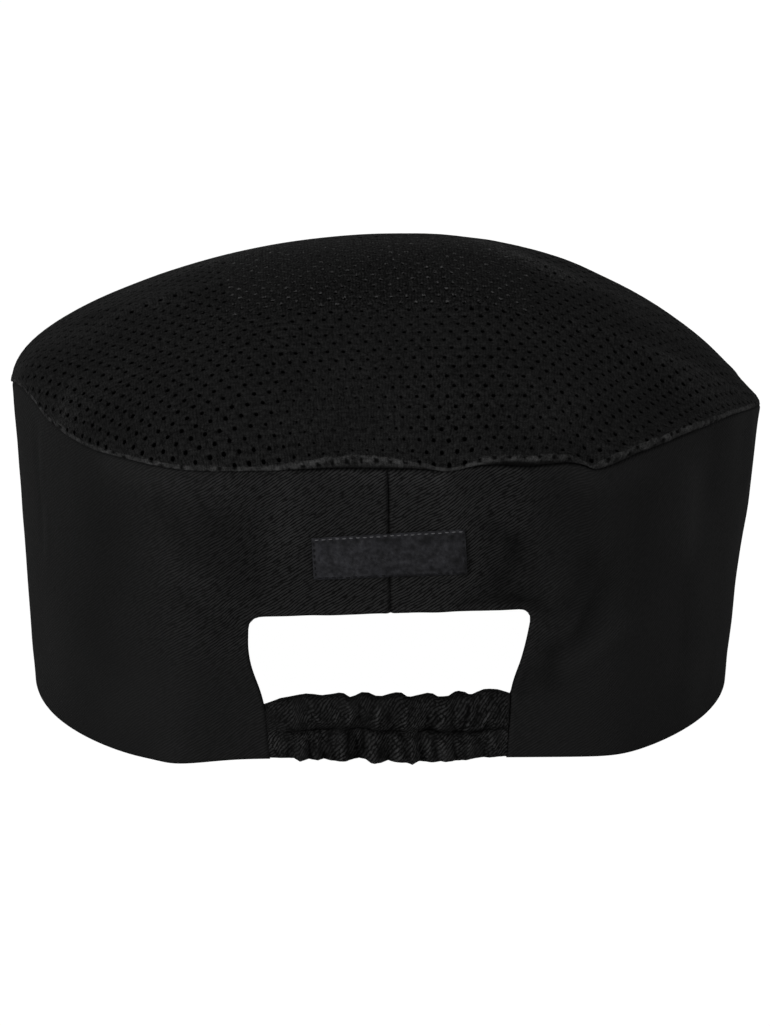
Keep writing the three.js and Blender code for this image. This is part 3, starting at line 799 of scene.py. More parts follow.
crown = {
    # the dome's rise, the height that it starts from, and how both sides differ
    "rise": 40.2, "base": 75, "tiltAcross": -2.3, "peakAside": -1, "edgeHold": 8,
    "roundness": 2.03, "roundnessAcross": -0.1, "shoulder": 0.753, "shoulderAcross": -0.2,
    "sheet": 0.75,
    # lines down the cap, steps along each, and levels of the cuts beside the sheet's end
    "lines": 1201, "lineSteps": 1100, "domeSteps": 260, "endLevels": (0.0, 0.5, 0.9, 1.4, 2.1, 3.2),
    # angles between which the roll takes each line and every second one, and its step elsewhere
    "fineRoll": (74, 146), "mediumRoll": (12, 184), "coarseStep": 6,
    # from x and y, to x and y, width, upward, and the painted highlight (above 0) or painted shade (below 0)
    # on the cloth
    "creases": [
        (82, 2, 52, 14, 6, 0.9, 0), (-24, -36, -66, -8, 6, 0.5, 0), (-52, 40, -88, 36, 6, 1.1, 0),
        (-30, 52, -78, 52, 9, -0.8, 0), (26, -15, 72, -11, 7, 0.2, 0.6), (78, 15, 39, 15, 2.4, 0.5, 0.15),
        (72, 11, 48, 24, 3, 0.3, 0.3), (54, -10, 32, -24, 5, 0.1, 0.45), (92, -6, 77, 5, 7, 0, -0.15),
        (82, 54, 74, 54, 5, 0, 0.25), (94, 0, 72, 22, 6, 0.3, 0.4), (98, 10, 94, 20, 4, 0, 0.5),
        (87, 56, 79, 43, 2.2, 0.5, 0.35), (12, -8, -18, -7, 8, 0, 0.2), (-26, -18, -34, -5, 6, 0.3, 1.4),
        (-36, -2, -48, 10, 6, 0.3, 1.3), (-62, 18, -78, 11, 4, 0.2, 0.35), (16, 80, 14, 88, 9, 0, -0.15),
        (-25, 68, -38, 84, 10, 0, -0.15), (-60, 60, -86, 38, 16, 0, 0.2), (-76, 41, -88, 36, 7, 0, 0.2),
        (-48, 75, -54, 82, 8, 0, 0.25), (-80, 38, -84, 36, 6, 0, 0.22), (-66, 10, -73, 9, 5, 0, 0.3),
        (-34, -2, -42, 6, 5, 0, 0.25), (-50, 2, -56, 6, 4, 0, -0.35), (52, -10, 38, -16, 7, 0, 0.22),
        (14, 44, -10, 44, 5, 0, 0.2), (23, 65, -20, 65, 14, 0, 0.06), (-32, -2, -60, 11, 3.4, 0.4, 0.5),
        (-52, 10, -82, -6, 3.4, 0.4, 0.45), (-42, 39, -76, 37, 2.6, 0.5, 0.3),
        (-68, 38, -96, 20, 3, 0.6, 0.55), (-50, 84, -80, 46, 8, -0.4, -0.3),
        (-40, 80, -36, 74, 6, 0.2, 0.2), (80, 58, 64, 80, 8, -0.2, -0.15), (30, 87, 0, 88, 10, 0.2, 0.1),
    ],
    "creaseFreeClimb": 0.2,
    "rollLean": 0.18,
    "rollBulge": 0.1,
    "rollBlend": 2.4,
    "rollThickness": 0.5,
    "tuck": 0.5,
    "allowance": 4.0,
    "holePitch": 4.1,
    "holeTurn": 3.0,
    "holeRadius": 0.59,
    "holeStretch": 1.22,
    "holeDrift": 0.14,
    # depths in the sheet, as shares of it, of the hole's rounded rim and wall, and of its lip's two sides
    "rimDepth": 0.02,
    "wallDepth": 0.75,
    "lipDepths": (0.12, 0.34),
    # x and y from the peak, spread, and how much smaller the holes are there
    "closedHoles": [(14, 90, 17, 0.75), (-40, 88, 14, 0.3), (-70, 10, 16, 0.25), (2, 53, 18, 0.2)],
    # how much smaller the holes get towards the front seam, and where on the cloth
    "frontSmaller": 0.45,
    "frontReach": (84, 96),
    # where the holes have lips with a painted highlight: x, spread across, from y to y, and the share that a
    # lip needs
    "paleHoles": (3, 40, -16, 44),
    "paleLimit": 0.35,
    "paleStretch": 1.0,
    "paleSmaller": 0.2,
    # how bright the painted highlight on the holes' lips is
    "lipHighlight": 2.6,
    # from angle to angle, how bright the painted highlight on the roll is
    "rollHighlightGain": [
        (-10, 68, 0.85), (70, 93, 1.05), (97.5, 111.5, 0.85), (115.5, 116.5, 0.35), (120.5, 400, 0.84),
    ],
    # angle and depth of the creases across the roll, and their spread
    "notches": [
        (80.7, 0.4), (82.5, 0.3), (84.5, 0.4), (86.4, 0.3), (104.7, 0.4), (106.9, 0.3), (112.7, 0.35),
        (125.4, 0.3), (131.5, 0.3),
    ],
    "notchSpread": 0.34,
    # angle, spread and darkness of the painted shadow under the roll
    "rollShade": [(85, 9, 0.45), (107, 5, 0.85), (125, 7, 0.4)],
}


def crownDome(angle, climb):
    side = np.cos(np.radians(angle))
    share = np.cos(climb * math.pi / 2)
    plan = seamPlan(angle) * share[..., None]
    plan[..., 0] += crown["peakAside"] * (1 - share ** 2)
    base = crown["base"] + crown["tiltAcross"] * plan[..., 0] / capShape["seam"]["halfWidth"]
    roundness = crown["roundness"] + crown["roundnessAcross"] * side
    shoulder = crown["shoulder"] + crown["shoulderAcross"] * side
    lifted = np.maximum(0, 1 - share ** roundness) ** shoulder
    height = base + (seamHeight(angle) - base) * share ** crown["edgeHold"] + crown["rise"] * lifted
    upward = foldField(plan, crown["creases"])[0] * np.minimum(1, climb / crown["creaseFreeClimb"])
    return np.concatenate([plan, (height + upward)[..., None]], -1)


def domeLines(angles, rollHeight):
    # each angle's line down the dome to the brow of the roll
    lowClimbs = np.linspace(0, 0.3, 90)  # the dome's lowest part, where the brow is looked for
    low = crownDome(*np.meshgrid(angles, lowClimbs, indexing="ij"))[..., 2] - seamHeight(angles)[:, None]
    browClimb = np.array([np.interp(height, row, lowClimbs) for height, row in zip(rollHeight, low)])
    shares = np.linspace(1, 0, crown["domeSteps"]) ** 1.5
    climb = browClimb[:, None] * (1 - shares) + shares
    return crownDome(np.repeat(angles[:, None], len(shares), 1), climb)


def rollLines(rollHeight, rollOut, lip):
    # outward reach and height from the seam of each line over the roll and in across the wall's edge
    rollHeight, rollOut, lip = rollHeight[:, None], rollOut[:, None], lip[:, None]
    t = np.linspace(0, 1, 10)[1:][None]
    bulge = crown["rollBulge"] * np.sin(math.pi * t) - crown["rollLean"] * (1 - t) ** 2
    faceOut = rollOut + rollHeight * bulge
    faceUp = rollHeight * (1 - t) + lip * t
    seamOut, seamUp = 0.12, 0.02
    turn = np.linspace(0, math.pi, 8)[1:][None]
    half = (rollOut - seamOut) / 2
    curlOut = seamOut + half + half * np.cos(turn)
    curlUp = lip + (seamUp - lip) * turn / math.pi - np.minimum(half, 0.5) * 0.5 * np.sin(turn)
    wall = capShape["wallThickness"]
    inner = [(-0.7, 0.05), (-1.4, 0.07), (-wall, 0.03), (-wall - 0.3, -0.12), (-wall - 0.42, -0.45)]
    inner += [(-wall - 0.44 - 0.09 * z, -z) for z in np.linspace(1.1, crown["allowance"], 4)]
    inner = np.repeat(np.array(inner)[None], len(rollOut), 0)
    return np.concatenate([np.stack([faceOut, faceUp], -1), np.stack([curlOut, curlUp], -1), inner], 1)


def crownProfiles(angles):
    # the lines over dome and roll, how far along them each point lies, and the index of the brow
    rollHeight, rollOut, lip = rollAt(angles)
    fullness = np.clip(rollOut / 1.5, 0.12, 1.2)
    rollOut = rollOut + fullness * (0.32 * ringNoise(angles, 4.1, 21) + 0.2 * ringNoise(angles, 1.7, 22))
    rollHeight = rollHeight * (1 + 0.1 * ringNoise(angles, 3.3, 23) + 0.08 * ringNoise(angles, 1.4, 24))
    dome = domeLines(angles, rollHeight)
    brow = dome.shape[1] - 1
    run = seamPlan(angles + 0.3) - seamPlan(angles - 0.3)
    outDirection = unit(np.stack([run[:, 1], -run[:, 0], np.zeros(len(angles))], -1))[:, None, :]
    edge = np.concatenate([seamPlan(angles), seamHeight(angles)[:, None]], -1)[:, None, :]
    aboveBrow = dome[..., 2] - edge[..., 2] - rollHeight[:, None]
    inDistance = ((edge[:, 0] - dome[:, -1]) * outDirection[:, 0]).sum(-1)
    lift = (rollOut - crown["rollLean"] * rollHeight + inDistance)[:, None]
    lift = lift * np.exp(-np.maximum(aboveBrow, 0) / crown["rollBlend"])
    dome = dome + outDirection * lift[..., None]
    roll = rollLines(rollHeight, rollOut, lip)
    roll = edge + outDirection * roll[..., :1] + np.array([0, 0, 1]) * roll[..., 1:]
    place = np.concatenate([dome, roll], 1) + np.array([0, capShape["widestBehindMiddle"], 0])
    steps = np.cumsum(np.linalg.norm(np.diff(place, axis=1), axis=-1), 1)
    return place, np.concatenate([np.zeros((len(angles), 1)), steps], 1), brow


def sheetNormals(place):
    around = np.gradient(place, axis=0)
    around[0] = around[-1] = (place[1] - place[-2]) / 2
    normals = unit(np.cross(np.gradient(place, axis=1), around))
    normals[:, :4] = np.array([0, 0, 1])
    return normals


def turned(xy, degrees):
    cos, sin = math.cos(math.radians(degrees)), math.sin(math.radians(degrees))
    return np.stack([xy[..., 0] * cos - xy[..., 1] * sin, xy[..., 0] * sin + xy[..., 1] * cos], -1)


def holeDistance(xy, stretch=1.0):
    # distance on the flat cloth to the middle of the nearest hole
    pitch = crown["holePitch"]
    rise = pitch * math.sqrt(3) / 2
    flat = turned(xy, -crown["holeTurn"])
    nearest = np.full(flat.shape[:-1], 99.0)
    for shift in (0, 1):
        row = np.floor(flat[..., 1] / rise) + shift
        start = np.mod(row, 2) * pitch / 2
        x = np.round((flat[..., 0] - start) / pitch) * pitch + start
        nearest = np.minimum(nearest, np.hypot(flat[..., 0] - x, (flat[..., 1] - row * rise) / stretch))
    return nearest


def holeSize(xy):
    size = 1 + 0.13 * patchNoise(xy, 5, 5, 40, 27)
    for x, y, spread, smaller in crown["closedHoles"]:
        size = size * (1 - smaller * hump(np.hypot(xy[:, 0] - x, xy[:, 1] - y), spread))
    towardsFront = smoothRise(-xy[:, 1], *crown["frontReach"])
    return crown["holeRadius"] * size * (1 - crown["frontSmaller"] * towardsFront)


def paleShare(xy):
    middle, spread, start, end = crown["paleHoles"]
    x, y = xy[..., 0], xy[..., 1]
    across = np.exp(-(((x - middle) / spread) ** 4))
    return across * smoothRise(y, start - 6, start + 6) * (1 - smoothRise(y, end - 6, end + 6))


def addHoleCell(points, faces, centre, middle, size, stretch, lipped, plain):
    # one cell of both sides of the sheet, with a hole of eight corners and perhaps a lip, or plain
    half, corner = crown["holePitch"] / 2, crown["holePitch"] / math.sqrt(12)
    outline = [(half, 0), (half, corner), (0, 2 * corner), (-half, corner),
               (-half, 0), (-half, -corner), (0, -2 * corner), (half, -corner)]
    start = len(points)
    points += [(centre[0] + x, centre[1] + y, z) for z in (0.0, 1.0) for x, y in outline]
    if plain:
        faces.append([start + k for k in range(8)])
        faces.append([start + 8 + k for k in reversed(range(8))])
        return
    turns = np.radians(np.arange(8) * 45)
    circle = np.stack([np.cos(turns), stretch * np.sin(turns)], -1)
    points += [tuple(middle + p * (size + 0.1)) + (crown["rimDepth"],) for p in circle]
    points += [tuple(middle + p * size) + (crown["wallDepth"],) for p in circle]
    rim, wall = start + 16, start + 24
    for k in range(8):
        n = (k + 1) % 8
        faces.append([start + k, start + n, rim + n, rim + k])
        faces.append([start + 8 + n, start + 8 + k, wall + k, wall + n])
        if not lipped:
            faces.append([rim + k, rim + n, wall + n, wall + k])
    if lipped:
        # a lip of cloth closes the front half of a stretched hole
        front = (4, 5, 6, 7, 0)
        points += [tuple(middle + circle[k] * size) + (z,) for z in crown["lipDepths"] for k in front]
        top, under = start + 32, start + 37
        for j, (k, n) in enumerate(zip(front, front[1:])):
            faces.append([rim + k, rim + n, top + j + 1, top + j])
            faces.append([under + j, under + j + 1, wall + n, wall + k])
        faces += [[top + j for j in range(5)], [under + j for j in reversed(range(5))]]
        faces.append([top + 4, top, under, under + 4])
        faces += [[rim + k, rim + 1 + k, wall + 1 + k, wall + k] for k in (1, 2)]
        faces.append([rim, rim + 1, wall + 1, wall, under + 4, top + 4])
        faces.append([rim + 3, rim + 4, top, under, wall + 4, wall + 3])


def holeCells(beforeBrow, longest):
    # the flat sheet: x and y on the cloth and depth in it, with the cells' common points merged
    pitch, turn = crown["holePitch"], crown["holeTurn"]
    rise = pitch * math.sqrt(3) / 2
    rows = int(longest / rise) + 2
    span = range(-rows, rows + 1)
    centres = np.array([(c * pitch + (r % 2) * pitch / 2, r * rise) for r in span for c in span])
    left = beforeBrow(turned(centres, turn))
    centres, left = centres[left > -pitch], left[left > -pitch]
    drift = np.random.default_rng(8).uniform(-crown["holeDrift"], crown["holeDrift"], centres.shape)
    paleness = paleShare(turned(centres, turn))
    sizes = holeSize(turned(centres, turn)) * (1 - crown["paleSmaller"] * paleness)
    stretches = crown["holeStretch"] + crown["paleStretch"] * paleness
    points, faces = [], []
    for cell in zip(centres, centres + drift, sizes, stretches, paleness > crown["paleLimit"], left < -0.2):
        addHoleCell(points, faces, *cell)
    points = np.array(points)
    keys = np.round(points * 500).astype(np.int64)
    _, first, merged = np.unique(keys, axis=0, return_index=True, return_inverse=True)
    points, merged = points[first], merged.reshape(-1)
    points[:, :2] = turned(points[:, :2], turn)
    return points, [[int(merged[i]) for i in face] for face in faces]


def makeMeshSheet(angles, place, reach, brow):
    # the knitted sheet with its holes, laid over the dome along lines from the peak
    count = crown["lineSteps"]
    shares = np.linspace(0, 1, count)
    even = np.stack([
        np.stack([np.interp(shares * far[-1], far, line[:, axis]) for axis in range(3)], -1)
        for far, line in zip(reach, place)
    ])
    plan = seamPlan(angles)
    direction = np.unwrap(np.arctan2(plan[:, 1], plan[:, 0]))

    def clothAngle(xy):
        turn = np.arctan2(xy[:, 1], xy[:, 0])
        return np.interp(np.where(turn < direction[0], turn + 2 * math.pi, turn), direction, angles)

    def beforeBrow(xy):
        return np.interp(clothAngle(xy), angles, reach[:, brow]) - np.linalg.norm(xy, axis=1)

    points, faces = holeCells(beforeBrow, reach[:, brow].max())
    fromEnd = beforeBrow(points[:, :2]) + crown["tuck"]
    for level in crown["endLevels"]:
        points, faces, fromEnd = splitAlong(points, faces, fromEnd, level)
    faces = keepAbove(faces, fromEnd, 0)
    angle = clothAngle(points[:, :2])
    row = angle / 360 * (len(angles) - 1)
    total = np.interp(angle, angles, reach[:, -1])
    step = np.clip(np.linalg.norm(points[:, :2], axis=1) / total, 0, 1) * (count - 1)
    lowRow, lowStep = np.minimum(row.astype(int), len(angles) - 2), np.minimum(step.astype(int), count - 2)
    rowShare, stepShare = (row - lowRow)[:, None], (step - lowStep)[:, None]

    def sample(table):
        low = table[lowRow, lowStep] * (1 - stepShare) + table[lowRow, lowStep + 1] * stepShare
        high = table[lowRow + 1, lowStep] * (1 - stepShare) + table[lowRow + 1, lowStep + 1] * stepShare
        return low * (1 - rowShare) + high * rowShare

    depth = 0.5 + (points[:, 2] - 0.5) * (0.3 + 0.7 * smoothRise(fromEnd, 0, 1.2))
    soft = 0.22 * patchNoise(points, 16, 16, 40, 31) * smoothRise(fromEnd, 3, 14)
    under = 0.06 * (1 - smoothRise(fromEnd, 0.2, 0.8))
    outward = (soft - under - depth * crown["sheet"])[:, None]
    laid = sample(even) + unit(sample(sheetNormals(even))) * outward

    def atDepth(key):
        return np.abs(points[:, 2] - key) < 0.01

    plan = laid[:, :2] - np.array([0, capShape["widestBehindMiddle"]])
    pale = paleShare(plan)
    fuzz = 0.5 * patchNoise(points, 1.3, 1.3, 90, 32)
    lip = atDepth(crown["lipDepths"][0]) * np.maximum(0.4, 1.1 + 1.1 * patchNoise(points, 3.1, 3.3, 90, 39))
    # painted light and shade along the creases, with tone that differs at random
    paintedLightAndTone = foldField(plan, crown["creases"])[1] + 0.12 * patchNoise(points, 9, 9, 70, 35)
    # painted highlights on the holes' lips, and near the top on their rims, with the cloth there a little
    # darker
    paintedLightAndTone += crown["lipHighlight"] * lip + pale * (0.2 * atDepth(crown["rimDepth"]) - 0.05)
    tones = {
        # painted highlight along the sheet's end, where it turns into the roll
        "rollHighlight": 0.7 * (1 - smoothRise(fromEnd + fuzz, 0.1, 0.7)) * (points[:, 2] < 0.5),
        # painted shade deep in each hole
        "creviceShade": 0.95 * atDepth(crown["wallDepth"]),
        "paintedLightAndTone": paintedLightAndTone,
        "weaveClear": 1.05 + 1.0 * pale,
    }
    return laid, faces, points[:, :2], tones


def makeRoll(angles, place, reach, brow):
    # the part of the mesh that rolls over the seam and ends inside, finer than the sheet
    index = np.arange(len(angles))
    ranges = (crown["fineRoll"], crown["mediumRoll"])
    fine, medium = ((angles > start) & (angles < end) for start, end in ranges)
    step = np.where(fine, 1, np.where(medium, 2, crown["coarseStep"]))
    chosen = index[(index % step == 0) | (index == len(angles) - 1)]
    lines, far = place[:, brow - 1:], reach[:, brow - 1:]
    normals = unit(np.cross(np.gradient(lines, axis=1), np.gradient(lines, axis=0)))
    lines, far, normals, angles = lines[chosen], far[chosen], normals[chosen], angles[chosen]
    flat = far[..., None] * unit(seamPlan(angles))[:, None, :]
    rows = np.arange(lines.shape[1], dtype=float)
    last = rows[-1]

    pit = (1 - smoothRise(holeDistance(flat, 1.5), 0.4, 0.72)) * smoothRise(15 - rows, 0, 4)
    face = smoothRise(rows, -1, 1) * smoothRise(14 - rows, 0, 5)
    notch = sum(deep * hump(angles - at, crown["notchSpread"]) for at, deep in crown["notches"])
    notch = notch[:, None] * face
    crumple = (0.1 * patchNoise(flat, 1.2, 1.2, 90, 33) - 0.35 * pit) * face - notch
    buried = -0.09 * (1 - smoothRise(rows, 0, 1.6))
    puffed = smoothRise(rollAt(angles)[1], 0.4, 1.5)[:, None]
    thin = 1 - 0.75 * (1 - puffed) * smoothRise(rows, 3, 7) * smoothRise(20 - rows, 0, 3)
    thick = crown["rollThickness"] * thin * smoothRise(rows, 0, 2) * smoothRise(last - rows, 0, 1.5)
    outer = lines + normals * (crumple * (0.3 + 0.7 * puffed) + buried)[..., None]
    inner = outer - normals * thick[..., None]
    faces = [[a, d, c, b] for a, b, c, d in gridFaces(len(chosen), lines.shape[1])]

    # the painted highlight on the roll: uneven, broken on the thin part at the wearer's left, and weaker low
    # on a puffed roll
    mottle = 0.74 + 0.5 * patchNoise(flat, 0.8, 1.1, 90, 34)
    streak = (0.35 * ringNoise(angles, 1.2, 36) + 0.2 * ringNoise(angles, 3.7, 37))[:, None]
    bright = sum(
        gain * smoothRise(angles, start - 4, start) * (1 - smoothRise(angles, end, end + 4))
        for start, end, gain in crown["rollHighlightGain"]
    )
    broken = 0.35 * ringNoise(angles, 2.6, 38) * (1 - smoothRise(angles, 66, 76))
    lit = (1 - 0.35 * puffed * smoothRise(rows, 5, 9)) * (bright + broken)[:, None]
    # painted shadow under the roll, where it curls under
    shade = sum(dark * hump(angles - at, spread) for at, spread, dark in crown["rollShade"])[:, None]
    below = puffed * smoothRise(rows, 9, 11) * smoothRise(19 - rows, 0, 2)
    points = np.concatenate([outer.reshape(-1, 3), inner.reshape(-1, 3)])
    # painted highlight on the roll's face, cut by its notches and pits; painted shade in the pits and under
    # the roll
    tones = {
        "rollHighlight": firstSide(np.clip(face * (mottle + streak - 1.6 * notch) * lit, 0, 1.2) * (1 - pit)),
        "creviceShade": firstSide(np.maximum(0.95 * pit * face, shade * below)),
        "paintedLightAndTone": np.zeros(len(points)),
        "weaveClear": np.ones(len(points)),
    }
    return points, bothSides(faces, len(points) // 2), np.concatenate([flat.reshape(-1, 2)] * 2), tones


def makeCrown():
    angles = np.linspace(0, 360, crown["lines"])
    profiles = crownProfiles(angles)
    sheet, roll = makeMeshSheet(angles, *profiles), makeRoll(angles, *profiles)
    faces = sheet[1] + [[i + len(sheet[0]) for i in face] for face in roll[1]]
    tones = {key: np.concatenate([tone, roll[3][key]]) for key, tone in sheet[3].items()}
    newPiece("crown_mesh_cloth", np.concatenate([sheet[0], roll[0]]), faces,
             clothMaterial("blackKnitMesh", crownLook, knitGroup),
             cloth=np.concatenate([sheet[2], roll[2]]) + 150, tones=tones, node="crown")


makeCrown()


# Gathered casing

casingLook = dict(
    bandLook, bumpStrength=1.0, toneShare=0.1, patchSize=9.0, toneGain=1.0,
    lowColour=(0.001, 0.001, 0.001, 1), highColour=(0.0275, 0.0275, 0.0278, 1),
)

